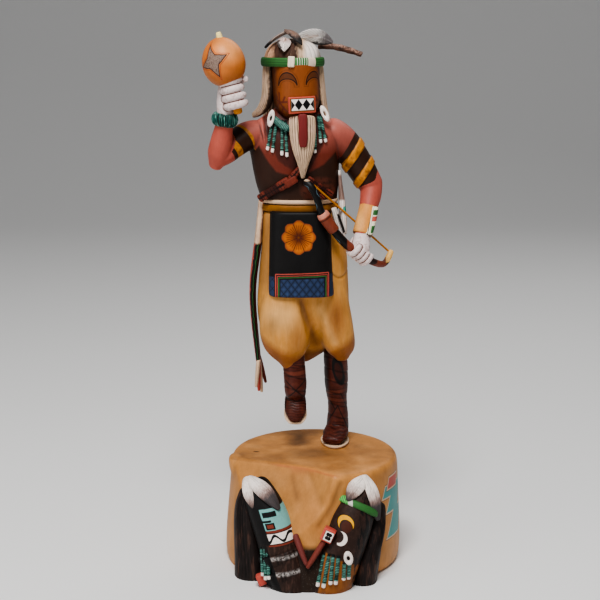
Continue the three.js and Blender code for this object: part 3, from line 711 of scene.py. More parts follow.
def paint_hair(name, ground, shaded_side=0):
    """Pale hair with darker grooves, and one side of the fall in shade."""
    coat = Coat(name, ground)
    across, _, _ = coat.attribute("place")
    groove = (coat.noise(0.55, (1, 1, 0.1)) - 0.56) * 6
    coat.lay(dim(ground, 0.2), groove.clamped() * 0.8)
    coat.lay((0.62, 0.42, 0.33), coat.specks(0.5, 5, 0.2, (1, 1, 0.5)) * 0.5)
    if shaded_side:
        coat.lay((0.03, 0.012, 0.008), inside(0.15 - across * shaded_side, 0.35) * 0.92)
    return coat.done(roughness=0.7, grain=0.32, uneven=0.3, wash=0.85)


# ---------- the base ----------

BASE_Y, BASE_TOP = 5, 79
TRUNK_ROWS = ((0, 1.8), (3, 3), (16, 3.6), (36, 2.4), (56, 0.8), (74, 0), (77.6, -1.2), (79, -4))
LEFT_COLUMN = ((-15, -58, -4, 16.5, 17), (-20.5, -56, 17, 16, 15.5), (-27.5, -52, 37, 14.5, 14.5),
    (-35, -46.5, 55, 13.5, 13.5), (-40, -42.5, 66, 10.5, 10.5))
LEFT_HAIR = ((-42.5, -40, -4, 15, 12.5), (-44, -40, 14, 13, 12.5), (-46, -40, 32, 11.5, 12),
    (-47.5, -38, 50, 10, 11), (-46, -38, 60, 8, 8))
RIGHT_COLUMN = ((9, -59, -4, 17, 17.5), (13.5, -58, 12, 16.5, 17), (21, -55, 32, 16.5, 16),
    (28, -50, 50, 15.5, 14.5), (33.5, -45, 65, 12, 11.5))
RIGHT_HAIR = ((34, -50, -4, 10.5, 12), (36, -49.5, 10, 10, 12), (40, -45.5, 24, 8, 11.5),
    (43.5, -41.5, 38, 8, 10.5), (45, -38.5, 50, 6.5, 9))


def cut_flat(piece, low=0.0):
    """Lifts what reaches below the floor onto it, so that the piece stands flat."""
    points = points_of(piece.data)
    points[:, 2] = np.maximum(points[:, 2], low)
    put_points(piece.data, points)
    return piece


def trunk_with_facet():
    """The root: a round block with ground left between the masks, and one slanted facet."""
    radius = sizes().base_radius
    rows = [(z, -0.7 + 1.5 * z / BASE_TOP, BASE_Y, radius + swell, radius + swell + 1)
        for z, swell in TRUNK_ROWS]
    block_of_wood = upright("base_root", rows, sides=40, levels=1)
    ground = upright("base_ground", [(-3, -3, -36, 34, 38.5), (20, -3, -36, 33, 32),
        (44, -1, -33, 34, 28.5), (60, 1, -29, 36, 27), (74, 1, -22, 36, 26)], sides=28, levels=1)
    corner = loft("base_corner", [(-48, -8, 60, 8, 11), (-55.5, -7, 70, 7, 10), (-57.5, -7, 77, 5, 8)])
    foot = loft("base_foot", [(-50, -4, -2, 12, 24), (-52.5, -4, 12, 12, 23), (-52, -5, 28, 11, 20),
        (-48, -6, 46, 9, 14)])
    root = fuse("base_root", [block_of_wood, ground, corner, foot], 1.2, 2)
    broad = lambda x, z: -33 - 0.419 * (x + 10) + 0.727 * (z - BASE_TOP)
    steep = lambda x, z: -36 - 0.956 * (x + 4) + 0.46 * (z - BASE_TOP)
    rings = []
    for z in (30, 95):
        crease = -4.9 - 0.497 * (z - BASE_TOP)
        rings.append([Vector(spot) for spot in ((-85, broad(-85, z), z), (crease, broad(crease, z), z),
            (34, steep(34, z), z), (34, -140, z), (-85, -140, z))])
    wedge = rings_to_mesh("facet_wedge", rings, [0, 1])
    cut_away(root, wedge)
    return cut_flat(remesh(root, 1.06, 12))


class KACHINA_OT_base(bpy.types.Operator):
    """Builds the varnished root with its slanted facet"""
    bl_idname = "kachina.base"
    bl_label = "Base"

    def execute(self, context):
        finish_piece(trunk_with_facet(), base_paint(), *BASE)
        return {'FINISHED'}


def base_paint():
    """Ochre varnish with brown clouds, painted shadow round the figure's feet, painted shade and a painted
    highlight on the facet, a dark ground between the masks and a stepped figure at one side.
    """
    coat = Coat("base_varnish", "base_wood", wander=0.2)
    x, y, z = coat.place()
    top = inside(77.6 - z, 0.8)
    cloud = coat.noise(0.035, detail=4.0)
    coat.lay("base_pale", coat.specks(0.45, 5, 0.05, (1, 1, 0.5)) * 0.6)
    coat.lay("base_dark", top * ((cloud - 0.42) * 4).clamped() * 0.5)
    # painted shadow: a soft darker oval on the top round the figure's feet
    coat.lay(dim("base_dark", 0.5), top * oval(x, y, (-1, -2), (17, 13), 12) * 0.5)
    coat.lay((0.03, 0.015, 0.006), top * oval(x, y, (-42, 2), (2.2, 1.2), 0.8) * 0.85)
    rim = inside(abs(z - 77.8) - 0.6, 1.4) * inside(y + 20, 8)
    coat.lay("base_red", rim * inside(abs(x + 6) - 22, 8) * 0.6)
    facet = inside(z - 77.5, 1) * inside(y + 30, 2) * stroke(x, z, (-8, 74), (-4, 52), 9, 3)
    coat.lay("base_red", facet * stroke(x, z, (-24, 76), (2, 77), 1, 5) * 0.5)
    # painted shade down the middle of the facet, then a painted highlight along the facet's raised edge
    coat.lay("base_dark", facet * stroke(x, z, (-16, 72), (-12, 60), 1.5, 6) * 0.55)
    coat.lay((0.5, 0.215, 0.062), facet * stroke(x, z, (9, 72), (-1, 50), 2, 6) * 0.6)
    # painted shade beside the facet's raised edge, as under an overhang
    ridge_shade = line_gap(x, z, (17.5, 73), (12, 58), 1).least(line_gap(x, z, (12, 58), (3, 45), 1))
    coat.lay((0.15, 0.06, 0.018), inside(ridge_shade, 4.5) * inside(y + 30, 2) * 0.85)
    ground = inside(abs(x + 3.2 + (z - 20) * 0.06) - 8.5, 1.5) * inside(z - 30, 4) * inside(y + 48, 1)
    coat.lay((0.008, 0.006, 0.006), ground * 0.97)
    coat.lay((0.12, 0.1, 0.09), ground * coat.specks(0.6, 12, 0.9) * 0.4)
    around = (x.math('ARCTAN2', -(y - BASE_Y)) - math.radians(54)) * 62
    steps = box_gap(around - 0.5 * (z - 60), z, (9, 58.5), (9, 4))
    for low in (43, 24.5):
        slanted = around - 0.62 * (z - low) - 1.6
        steps = steps.least(box_gap(slanted, z, (11, low + 9.3), (11, 9.4)))
    red_step = box_gap(around - 0.4 * (z - 64), z, (13.5, 64), (8, 3.8))
    chips = box_gap(around, z, (21, 38), (3.4, 14))
    coat.lay("black", inside(chips, 0.3))
    coat.lay("cream", inside(chips, 0.3) * inside((z + around * 0.5).folded(8) - 1.6, 0.3))
    for gap, paint in ((steps, "motif"), (red_step, "red")):
        coat.lay("black", inside(gap - 1.5, 0.3) * 0.8)
        coat.lay("cream", inside(gap - 1.1, 0.3))
        coat.lay(paint, inside(gap, 0.3))
    return coat.done(roughness=0.45, grain=0.16, uneven=0.3, wash=0.55, bump=0.15)


def feather(name, root, tip, profile, taper, wide, thick, bend, paint, *place, **form):
    """A feather from root to tip. Its middle is bent forward and up, and it grows thinner to its tip."""
    root, tip = Vector(root), Vector(tip)
    stations = []
    for t, spread in profile:
        spot, swing = root.lerp(tip, t), 4 * t * (1 - t)
        stations.append((spot.x, spot.y - bend[0] * swing, spot.z + bend[1] * swing, wide * spread,
            thick * (1 - taper * t)))
    limb(name, stations, paint, *place, **form)


def relief_feather(name, root, tip, wide, thick, sag, paint):
    """A lying feather with a raised middle and cut barbs."""
    along = (Vector(tip) - Vector(root)).cross(Vector((0, -0.6, 0.8)))
    feather(name, root, tip, ((0, 0.55), (0.25, 0.92), (0.55, 1), (0.82, 0.72), (1, 0.3)), 0.55, wide,
        thick, (sag, sag), paint, *BASE, cut=strands_cut(26, 0.22, len(name)), along=along, ends=0.5)


def strand(name, start, end, radius, paint_name, *place):
    """A hanging string of beads, with a paler tip."""
    start, end = Vector(start), Vector(end)
    length, pitch = (end - start).length, sizes().bead_size

    def notches(points, angle, reach):
        joint = np.abs(np.sin(math.pi * reach / pitch)) < 0.42
        return np.where((reach < length * 0.9) & joint, 0.22, 0.0)
    stations = [(*start.lerp(end, t), radius, radius) for t in (0, 0.3, 0.6, 0.85, 0.93, 1)]
    limb(name, stations, bead_paint(paint_name, length), *place, cut=notches, along=(1, 0.3, 0),
        sides=10, ends=0.6)


def bead_paint(name, length):
    """Turquoise beads with a painted highlight across the middle of each, and a white shell tip after this
    length.
    """
    coat = Coat(name, "turquoise", wander=0.1)
    place = coat.attribute("place")
    reach = place[2]
    ring = reach.folded(sizes().bead_size)
    coat.lay("black", inside(ring - 0.22, 0.25) * 0.8)
    # painted highlight: a pale band across the middle of each bead, broken up by noise
    coat.lay("bead_pale", inside(abs(ring - 0.5) - 0.14, 0.2) * (coat.noise(0.6) * 2 - 0.4).clamped())
    coat.lay("white", inside(length * 0.9 - reach, 0.4))
    coat.lay("black", inside(abs(length * 0.9 - reach) - 0.12, 0.2) * 0.8)
    return coat.done(roughness=0.5, grain=0.1, uneven=0.3, wash=0.7)


class KACHINA_OT_left_relief(bpy.types.Operator):
    """Builds the relief mask on the doll's right side of the base"""
    bl_idname = "kachina.left_relief"
    bl_label = "Left relief mask"

    def execute(self, context):
        paint = left_mask_paint()
        limb("relief_mask_left", LEFT_COLUMN, paint, *BASE, flat=True, sides=16)
        limb("relief_hair_left", LEFT_HAIR, dark_hair_paint("relief_hair_black"), *BASE,
            cut=strands_cut(34, 0.9, 2.0), flat=True, sides=16)
        feathers = relief_feather_paint("relief_feathers_left")
        relief_feather("relief_feather_1", (-47, -43, 72), (-40, -55, 54), 7, 4, 2, feathers)
        relief_feather("relief_feather_2", (-45, -43, 72), (-25, -57.5, 56), 6.5, 4, 4, feathers)
        fluted = lambda points, angle, reach: 0.35 * (1 + np.sin(angle * 46 + 2 * np.sin(angle * 9)))
        for k, (x, y, z, wide) in enumerate(((-18.6, -56.8, 9, 17.6), (-22, -55.6, 21, 16.9))):
            limb(f"relief_ruff_{k + 1}", [(x, y, z - 4, wide - 1, wide - 1),
                (x - 2.4, y + 0.8, z + 4, wide, wide)],
                paint, *BASE, cut=fluted, flat=True, sides=20, ends=0.1)
        limb("relief_tongue_left", [(-13, -62, 37.4, 2.4, 2.4), (-10, -66.4, 30, 2.5, 2.4),
            (-5.8, -70.4, 20.5, 1.7, 2.2)], plain_paint("relief_tongue", (0.13, 0.03, 0.025),
            grain=0.3), *BASE, sides=10)
        for k, ends in enumerate((((-36.8, -61, 29), (-36, -65, 10)),
                ((-34.6, -62.5, 30), (-34, -67.4, 8)), ((-32.6, -64, 28), (-31.6, -69, 9)))):
            strand(f"relief_beads_left_{k + 1}", *ends, 1.35, f"relief_bead_left_{k}", *BASE)
        cloth = block("relief_cloth_left", (-37, -61, 5.5), (6, 6, 8), turn=(0, -22, 0), edge=0.8)
        finish_piece(cut_flat(cloth), plain_paint("relief_cloth_red", "red", grain=0.3), *BASE)
        return {'FINISHED'}


def dark_hair_paint(name):
    """Black hair with painted brown highlights streaked along its strands."""
    coat = Coat(name, (0.014, 0.009, 0.008))
    # painted highlights: brown streaks along the strands
    coat.lay((0.085, 0.04, 0.028), coat.specks(0.52, 6, 0.5, (1, 1, 0.12)) * 0.8)
    return coat.done(roughness=0.5, grain=0.35, uneven=0.3, wash=0.8)


def left_mask_paint():
    """Turquoise with black bars, a white band with a zigzag, then brown fur with two pale bands."""
    coat = Coat("relief_mask_left", "fur", wander=0.2)
    x, _, z = coat.place()
    across = (x + 15) * 0.942 + (z + 4) * 0.336
    up = (z + 4) * 0.942 - (x + 15) * 0.336 + across * 0.18
    streak = coat.specks(0.5, 6, 0.6, (1, 1, 0.15))
    coat.lay(dim("fur", 3.2), streak * 0.6)
    for height in (29.6, 18.2):
        fuzz = inside(abs(up - height) - 1.2, 1.6) * coat.specks(0.36, 6, 0.8)
        coat.lay((0.36, 0.33, 0.31), fuzz * 0.9)
    face = inside(48.8 - up, 0.3) * inside(up - 63.6, 0.4)
    coat.lay("pale_turquoise", face)
    coat.lay("black", face * between(up, 57.8, 61.4) * between(across, -1.2, 8.2))
    coat.lay("black", face * between(up, 54.4, 55.9) * between(across, -4, 3.4))
    coat.lay("black", face * between(up, 49.4, 54.0) * between(across, -1.4, 5.0))
    coat.lay("fur_red", face * between(up, 50.4, 53.0) * between(across, -0.4, 4.0))
    coat.lay("black", inside(63.6 - up, 0.4))
    band = between(up, 39.6, 46.6) * inside(-3.2 - across, 0.3)
    coat.lay("white", band)
    zigzag = up - 43 - (across * 0.62).math('SINE') * 2.2
    coat.lay("black", band * inside(abs(zigzag) - 1.05, 0.3))
    for low, high, paint in ((46.6, 47.2, "black"), (47.2, 48.8, "fur_red"), (39.0, 39.6, "black"),
            (37.8, 39.0, "fur_red")):
        coat.lay(paint, between(up, low, high, 0.25) * inside(-3.6 - across, 0.3))
    coat.lay("black", inside(across + 2.4, 0.5) * inside(39 - up, 0.6))
    coat.lay("black", inside(across + 5.5, 0.8) * inside(up - 39, 0.6))
    return coat.done(roughness=0.5, grain=0.2, uneven=0.2, wash=0.7)


def relief_feather_paint(name):
    coat = Coat(name, "white")
    place = coat.attribute("place")
    streaks = coat.noise(0.9, (1, 1, 0.25))
    coat.lay((0.3, 0.19, 0.16), ((place[2] - 9) / 10 + (streaks - 0.5)).clamped())
    coat.lay((0.06, 0.05, 0.05), ((place[2] - 16) / 6 + (streaks - 0.5)).clamped())
    return coat.done(roughness=0.7, grain=0.25, uneven=0.2, wash=0.7)


def column_front(x, z):
    """How far forward the right mask's surface stands here."""
    levels = [row[2] for row in RIGHT_COLUMN]
    middle, centre, wide, deep = (float(np.interp(z, levels, [row[k] for row in RIGHT_COLUMN]))
        for k in (0, 1, 3, 4))
    return centre - deep * math.sqrt(max(1 - ((x - middle) / wide) ** 2, 0))


class KACHINA_OT_right_relief(bpy.types.Operator):
    """Builds the relief mask on the doll's left side of the base"""
    bl_idname = "kachina.right_relief"
    bl_label = "Right relief mask"

    def execute(self, context):
        limb("relief_mask_right", RIGHT_COLUMN, right_mask_paint(), *BASE, flat=True, sides=16)
        limb("relief_hair_right", RIGHT_HAIR, dark_hair_paint("relief_hair_wavy"), *BASE,
            cut=strands_cut(34, 0.9, 5.0), flat=True, sides=16)
        feathers = relief_feather_paint("relief_feathers_right")
        relief_feather("relief_feather_3", (34.5, -45, 73), (23.5, -58.5, 62.5), 6.6, 4, 3, feathers)
        relief_feather("relief_feather_4", (35, -46, 74), (44.5, -53.5, 47), 6.6, 4.4, 4, feathers)
        limb("relief_headband", [(29.5, -47.8, 53.2, 17.9, 16), (31.2, -46.6, 56.8, 17.3, 15.2)],
            relief_band_paint(), *BASE, sides=24, ends=0.08)
        limb("relief_tongue_right", [(6, -67.5, 35, 2.1, 2.6), (1, -69.4, 27, 2.2, 2.6),
            (-4.6, -71, 18.5, 1.8, 2.4)], plain_paint("relief_tongue_red", (0.16, 0.035, 0.025),
            grain=0.3), *BASE, sides=10)
        centre, lean = Vector((9.6, -67.2, 40.6)), math.radians(23)
        mouth = block("relief_mouth", centre, (8.4, 8.4, 9.2), turn=(-8, 23, -12), edge=0.5)
        dx, _, dz = (points_of(mouth.data) - np.array(centre)).T
        note(mouth.data, "face", np.stack([dx * math.cos(lean) - dz * math.sin(lean),
            dx * math.sin(lean) + dz * math.cos(lean), dx], axis=1))
        finish_piece(mouth, relief_mouth_paint(), *BASE)
        shell = standing_ring("relief_shell", (23.4, -72.2, 25.2), -10, (2.3, 1.15), (36, 14),
            (0.95, 1.5, 1.6))
        finish_piece(shell, plain_paint("relief_shell", "white", roughness=0.4), *BASE)
        for k, (top_x, top_z, x, z) in enumerate(((6.9, 27, 2.2, 5.5), (10.2, 27, 6.2, 5.5),
                (12.8, 27, 11, 8), (16.6, 26.5, 14.6, 8), (20.6, 22, 20.2, 10.5), (24.2, 22, 23.6, 10.5))):
            strand(f"relief_beads_right_{k + 1}", (top_x, column_front(top_x, top_z) - 0.5, top_z),
                (x, column_front(x, z) - 0.4, z), 1.55, f"relief_bead_right_{k}", *BASE)
        return {'FINISHED'}


def right_mask_paint():
    """Dark brown with a yellow crescent over a reddish disc, and a white crescent below."""
    coat = Coat("relief_mask_right", "fur", wander=0.15)
    x, y, z = coat.place()
    front = inside(y + 48, 1)
    coat.lay(dim("fur", 2.2), coat.specks(0.45, 4, 0.3) * 0.6)
    coat.lay((0.055, 0.015, 0.008), front * oval(x, z, (22.2, 45.6), (3.8, 3.8), 0.9))
    lean = z + (x - 22) * 0.12
    yellow = oval_gap(x, lean, (21.8, 47.6), (5.6, 5.4)).most(-oval_gap(x, lean, (22.0, 45.2), (4.7, 5.0)))
    coat.lay("black", front * inside(yellow - 0.35, 0.3))
    coat.lay((0.62, 0.3, 0.02), front * inside(yellow, 0.3))
    ground = inside(z - 27 + (x - 10) * 0.45, 1.2) * inside(3.4 - (z - 6) * -0.2 - x, 1)
    coat.lay((0.2, 0.068, 0.016), ground * front * (0.55 + coat.noise(0.3)).clamped())
    side_hair = inside(30 + (z - 40) * 0.12 - x, 1.5)
    coat.lay("black", side_hair * inside((coat.noise(0.45, (1, 1, 0.15)) - 0.5) * -1, 0.03))
    white = oval_gap(x, z, (18.2, 38), (4.6, 4.7)).most(-oval_gap(x, z, (16.2, 39.2), (4.0, 4.0)))
    coat.lay("white", front * inside(white.most(15.6 - x), 0.3))
    return coat.done(roughness=0.5, grain=0.2, uneven=0.25, wash=0.7)


def relief_mouth_paint():
    """An orange-red frame round four black lobes on white."""
    coat = Coat("relief_mouth", "red", wander=0.05)
    a, b, _ = coat.attribute("face")
    coat.lay("black", inside(box_gap(a, b, (0, 0), (3.2, 3.5)), 0.25))
    coat.lay("white", inside(box_gap(a, b, (0, 0), (2.9, 3.3)), 0.25))
    lobes = length_of((abs(a) - 0.8), (abs(b) - 1.3)) - 1.35
    coat.lay("black", inside(lobes, 0.3) * inside(box_gap(a, b, (0, 0), (2.9, 3.3)), 0.25))
    return coat.done(roughness=0.45, grain=0.05, uneven=0.05)


def relief_band_paint():
    """Bright green, paler and ribbed on one side of a white knot."""
    coat = Coat("relief_headband", "green", wander=0.15)
    x, y, z = coat.place()
    ribbed = inside(x - 24.6, 0.3)
    coat.lay(dim("green", 3.4), ribbed)
    coat.lay(dim("green", 0.3), ribbed * inside((x + z * 0.4).folded(1.5) - 0.2, 0.25) * 0.8)
    coat.lay((0.5, 0.5, 0.42), between(x, 23.4, 26.6, 0.3) * inside(y + 50, 1))
    return coat.done(roughness=0.55, grain=0.15)


# ---------- head, hair and ornaments ----------

HEAD_PIVOT = (-11.7, 17, 321)
HOOD_X, HOOD_Y, HOOD_WIDE, HOOD_DEEP = -15.2, 21, 21.2, 19.5
BAND_Z, BAND_HALF, CROWN_Z = 360.8, 3.2, 376.5


def head_pose():
    given = sizes()
    pivot = Vector(HEAD_PIVOT) * MM
    return (Matrix.Translation(pivot) @ Matrix.Rotation(-math.radians(given.head_roll), 4, 'Y')
        @ Matrix.Rotation(math.radians(given.head_turn), 4, 'Z') @ Matrix.Translation(-pivot))


def note_round(piece, centre, radius):
    """Keeps how far round an upright axis each point lies from the front, its height and how far out."""
    x, y, z = (points_of(piece.data) - np.array(centre)).T
    note(piece.data, "face", np.stack([np.arctan2(x, -y) * radius, z, np.hypot(x, y)], axis=1))


class KACHINA_OT_head(bpy.types.Operator):
    """Builds the case mask and its square mouth"""
    bl_idname = "kachina.head"
    bl_label = "Mask"

    def execute(self, context):
        radius = sizes().head_radius
        x, y, chin = HEAD_PIVOT
        rows = [(chin - 1, x, y + 4, radius * 0.45, radius * 0.6), (chin + 2, x, y + 1, radius * 0.72,
            radius * 0.92), (chin + 8, x, y, radius * 0.95, radius), (chin + 16, x, y, radius * 1.01,
            radius * 1.03), (chin + 30, x, y, radius * 1.01,
            radius * 1.02), (chin + 39, x, y, radius, radius)]
        face = upright("mask_face", rows, sides=24, power=2.05)
        note_round(face, HEAD_PIVOT, radius)
        face.data.transform(head_pose())
        finish_piece(face, mask_paint())
        mouth = block("mask_mouth", (x, y - radius + 0.4, chin + 10.3), (19.2, 4, 11.6), edge=0.7)
        local = points_of(mouth.data) - np.array(HEAD_PIVOT)
        note(mouth.data, "face", local[:, [0, 2, 1]])
        mouth.data.transform(head_pose())
        finish_piece(mouth, mouth_paint())
        return {'FINISHED'}


def mask_paint():
    coat = Coat("mask_paint", "mask_wood", wander=0.25)
    u, v, _ = coat.attribute("face")
    # painted shade: the mask darker towards the chin
    coat.lay(dim("mask_wood", 0.45), inside(v - 9, 12) * 0.7)
    side = abs(u - 0.4)
    outer = oval_gap(side, v, (10.4, 24.0), (7.4, 9.2))
    inner = oval_gap(side, v, (10.4, 23.2), (7.0, 5.4))
    eye = outer.most(-inner).most(24.2 - v)
    coat.lay(dim("mask_wood", 0.5), inside(abs(eye - 1.2) - 0.3, 0.5) * 0.6)
    coat.lay((0.05, 0.018, 0.008), inside(eye, 0.4) * 0.7)
    coat.lay("black", inside(abs(eye + 0.15) - 0.34, 0.3) * 0.95)
    cheek = abs(u)
    for start, end in (((17.2, 12.6), (17.0, 19.0)), ((17.2, 12.6), (10.8, 12.8)),
            ((17.2, 12.6), (13.2, 7.0)), ((17.2, 12.6), (22.4, 8.6)), ((17.2, 12.6), (22.8, 15.8)),
            ((19.6, 15.8), (21.2, 18.2)), ((14.0, 9.0), (10.6, 5.0)), ((15.0, 8.0), (18.6, 4.4)),
            ((14.0, 12.7), (12.2, 16.0))):
        coat.lay("eye_line", stroke(cheek, v, start, end, 0.75, 0.5) * 0.95)
    # painted shade: the mask darker towards its sides, so the front looks lit
    coat.lay(dim("mask_wood", 0.3), inside(17.5 - abs(u + 1.5), 5) * 0.8)
    return coat.done(roughness=0.42, grain=0.12, uneven=0.18)


def mouth_paint():
    """A wooden frame with red and black lines, and black lozenges on white."""
    coat = Coat("mouth_paint", "mask_wood", wander=0.1)
    x, z, _ = coat.attribute("face")
    up = abs(z - 10.4)
    coat.lay("red", inside(abs(up - 5.3) - 0.5, 0.3).most(inside(abs(abs(x) - 9.3) - 0.4, 0.3)) * 0.85)
    teeth = box_gap(x, z, (0.2, 10.6), (7.9, 3.9))
    coat.lay("black", inside(teeth - 0.4, 0.3))
    coat.lay("white", inside(teeth, 0.3))
    lozenge = (x - 0.2 - 2.8).folded(5.6) / 2.85 + abs(z - 10.6) / 3.9 - 1
    coat.lay("black", inside(lozenge, 0.12) * inside(teeth, 0.3))
    return coat.done(roughness=0.4, grain=0.06, uneven=0.06)


class KACHINA_OT_hair(bpy.types.Operator):
    """Builds the cap, the headband, the falls of hair and the beard"""
    bl_idname = "kachina.hair"
    bl_label = "Hair and headband"

    def execute(self, context):
        depth = sizes().hair_depth
        x, y, wide, deep = HOOD_X, HOOD_Y, HOOD_WIDE, HOOD_DEEP
        rows = ((BAND_Z - 3, y, 0.98), (BAND_Z + BAND_HALF, y, 0.98), (CROWN_Z - 5.5, y, 0.85),
            (CROWN_Z - 2, y + 0.5, 0.62), (CROWN_Z + 0.4, y + 1, 0.27))
        limb("hood_cap", [(z, x, middle, wide * share, deep * share) for z, middle, share in rows],
            cap_paint(), make=upright, cut=strands_cut(30, 0.25, 3.0), sides=28)
        rows = ((-BAND_HALF, 0.9, 0.8), (-1.6, 1.6, 1.5), (1.6, 1.6, 1.5), (BAND_HALF, 0.9, 0.8))
        band = upright("headband", [(BAND_Z + up, x, y, wide + out, deep + ahead)
            for up, out, ahead in rows], sides=36)
        note_round(band, (HOOD_X, HOOD_Y, BAND_Z), HOOD_WIDE)
        finish_piece(band, headband_paint())
        knot = block("headband_knot", (-16.1, 0.2, 361.3), (4.8, 3.2, 7.6), turn=(-4, 3, 0), edge=0.9)
        finish_piece(knot, plain_paint("knot_cloth", (0.62, 0.52, 0.4), grain=0.3))
        hairs = {
            "hair_back": ([(-15, 33, 357.5, 19, 7), (-15, 35, 350, 21, 8.5), (-14, 38, 332, 23, 8),
                (-13.5, 39.5, 312, 24.5, 6.5), (-13, 40, 292, 22, 5.5), (-12, 39.5, 274, 17, 4.5),
                (-11.5, 39, 262, 11, 3)], 46),
            "hair_right": ([(-32, 24, 358, 4.6, 9), (-32.6, 23, 346, 4.6, 10), (-32.8, 22, 336, 4.4, 9),
                (-35.4, 23, 328.5, 4.6, 6.4), (-40, 24.5, 324.5, 2.6, 5),
                (-43.6, 25.5, 322.8, 1.4, 3)], 22),
            "hair_left": ([(2.5, 26, 358, 4.2, 9), (4.4, 26, 343, 3.8, 10), (6.2, 26, 328, 3.4, 8),
                (9.4, 25, 319, 2.8, 6), (12.2, 25, 314.5, 1.6, 3)], 20),
            "beard": ([(-8.6, 3, 322.4, 9.6, 4.3), (-8.2, 1, 313, 9.6, 4.2), (-7.7, 0.5, 300, 8.2, 4),
                (-7.8, 1.5, 291, 4.2, 3.4), (-7.9, 2.5, 280.5, 1.5, 2.4)], 24),
        }
        shaded = {"hair_right": 1, "hair_left": -1}
        for name, (stations, count) in hairs.items():
            limb(name, stations, paint_hair(f"{name}_paint", "cream", shaded.get(name, 0)),
                cut=strands_cut(count, depth, len(name)), sides=20, ends=0.4, levels=3)
        limb("beard_tongue", [(-8.2, -2, 324.4, 3.5, 1.6), (-7.9, -3.4, 317, 3.1, 1.3),
            (-7.7, -3.6, 309, 3.6, 1.3), (-7.8, -3.7, 303, 2.6, 1.1)], plain_paint("tongue_red",
            (0.13, 0.017, 0.015), grain=0.3), power=2.6)
        return {'FINISHED'}


def cap_paint():
    """A white cap with a tan side, a brown parting, and brown painted shade along its edge on the doll's
    left.
    """
    coat = Coat("cap_paint", "cream", wander=0.9)
    x, y, _ = coat.place()
    coat.lay("white", inside(-6.5 - x, 3.5) * inside(y - 32, 14))
    coat.lay((0.42, 0.2, 0.11), inside(x + 27, 5) * inside(y - 26, 8) * 0.7)
    parting = between(x, -29, -11, 3.2) * inside(y - 22, 10)
    coat.lay("cap_brown", parting * (coat.noise(0.5, (1, 1, 0.2)) * 3 - 0.3).clamped())
    # painted shade: brown along the cap's edge on the doll's left
    coat.lay("cap_brown", between(x, 2, 6, 3) * inside(y - 26, 8) * 0.6)
    return coat.done(roughness=0.7, grain=0.3, uneven=0.25)


def headband_paint():
    """Dark green cloth, darker towards the doll's right as painted shade, with a ribbed bright length whose
    ribs are drawn as white painted highlights and black painted shade, and a white length in front.
    """
    coat = Coat("headband_paint", "green", wander=0.15)
    u, v, _ = coat.attribute("face")
    coat.lay(dim("green", 0.4), inside(v.folded(1.7) - 0.28, 0.4) * 0.8)
    # painted shade: the band darker towards the doll's right
    coat.lay(dim("green", 0.45), inside(u + 16, 10) * 0.6)
    ribbed = between(u, 2.0, 11.6)
    coat.lay(dim("green", 1.5), ribbed)
    # the ribs are drawn in paint: white lines as painted highlights, black lines beside them as painted
    # shade
    coat.lay("white", ribbed * inside(u.folded(1.75) - 0.22, 0.3) * 0.8)
    coat.lay("black", between(u, 3.0, 11.0) * inside((u - 0.6).folded(1.75) - 0.18, 0.25) * 0.7)
    coat.lay((0.6, 0.48, 0.38), between(u, 11.6, 17.8))
    return coat.done(roughness=0.6, grain=0.1)


class KACHINA_OT_ornaments(bpy.types.Operator):
    """Builds the shell ear loops, the necklace and the hanging beads"""
    bl_idname = "kachina.ornaments"
    bl_label = "Ornaments"

    def execute(self, context):
        shell = plain_paint("ear_shell", "white", roughness=0.4)
        for name, spot, lean in (("ear_loop_right", (-30.4, 6, 321.8), 11),
                ("ear_loop_left", (7.4, 8, 325), -25)):
            finish_piece(standing_ring(name, spot, lean, (1.95, 1.05), (40, 16), (0.84, 2.05, 1.2)), shell)
        rows = ((-29.5, 9.5, 320, -33, 6.5, 300), (-26.5, 9, 320, -29.5, 5.5, 298.5),
            (-22.5, 8.5, 320, -22.8, 4.6, 296.5), (-20.4, 8, 320, -19.2, 4, 295.5),
            (2.8, 11, 324, 4.6, 7.4, 305), (4.2, 11.5, 324, 8.2, 8, 305.5), (0.6, 7.5, 314, 0.6, 5.5, 298))
        for k, row in enumerate(rows):
            strand(f"bead_strand_{k + 1}", row[:3], row[3:], 1.25, f"beads_{k + 1}")
        limb("necklace", [(-29.5, 9.5, 322.5, 2.2, 2.0), (-26, 6.4, 319.4, 2.7, 2.2),
            (-21.5, 3.6, 316.4, 2.9, 2.2), (-17.4, 2.4, 314.6, 2.4, 2)],
            bead_paint("necklace_beads", 90), cut=strands_cut(20, 0.2, 3.0), along=(0.5, 0, 0.86), sides=14)
        return {'FINISHED'}


# ---------- body and dress ----------

RIGHT_ARM = ((-41, 22, 309, 11.5, 12), (-48, 19.5, 309, 11, 12), (-56, 14, 303.5, 9.6, 10.5),
    (-64, 8.5, 296.5, 8.8, 9.6), (-68.5, 7, 292.5, 6.5, 7.5))
RIGHT_FOREARM = ((-69.5, 8, 289.5, 5.6, 6), (-67.2, 6, 297, 9, 9), (-65.4, 3.6, 305, 8.4, 8.2),
    (-63.4, 0.6, 315, 6.8, 6.8), (-62.4, -1, 322, 6, 6))
LEFT_ARM = ((13, 23.5, 312, 9.8, 12), (18.5, 24.5, 308, 11.2, 12), (26, 25, 298, 11.6, 12),
    (34.2, 25, 284, 11, 11), (40.6, 25, 274, 9.6, 9.8))
LEFT_FOREARM = ((42, 26, 275, 8.2, 8.6), (41.2, 21, 265, 8.4, 8.4), (39, 15.5, 257, 6.6, 7),
    (36.5, 11, 248, 6.2, 6.4), (34.3, 7, 240, 6, 6))
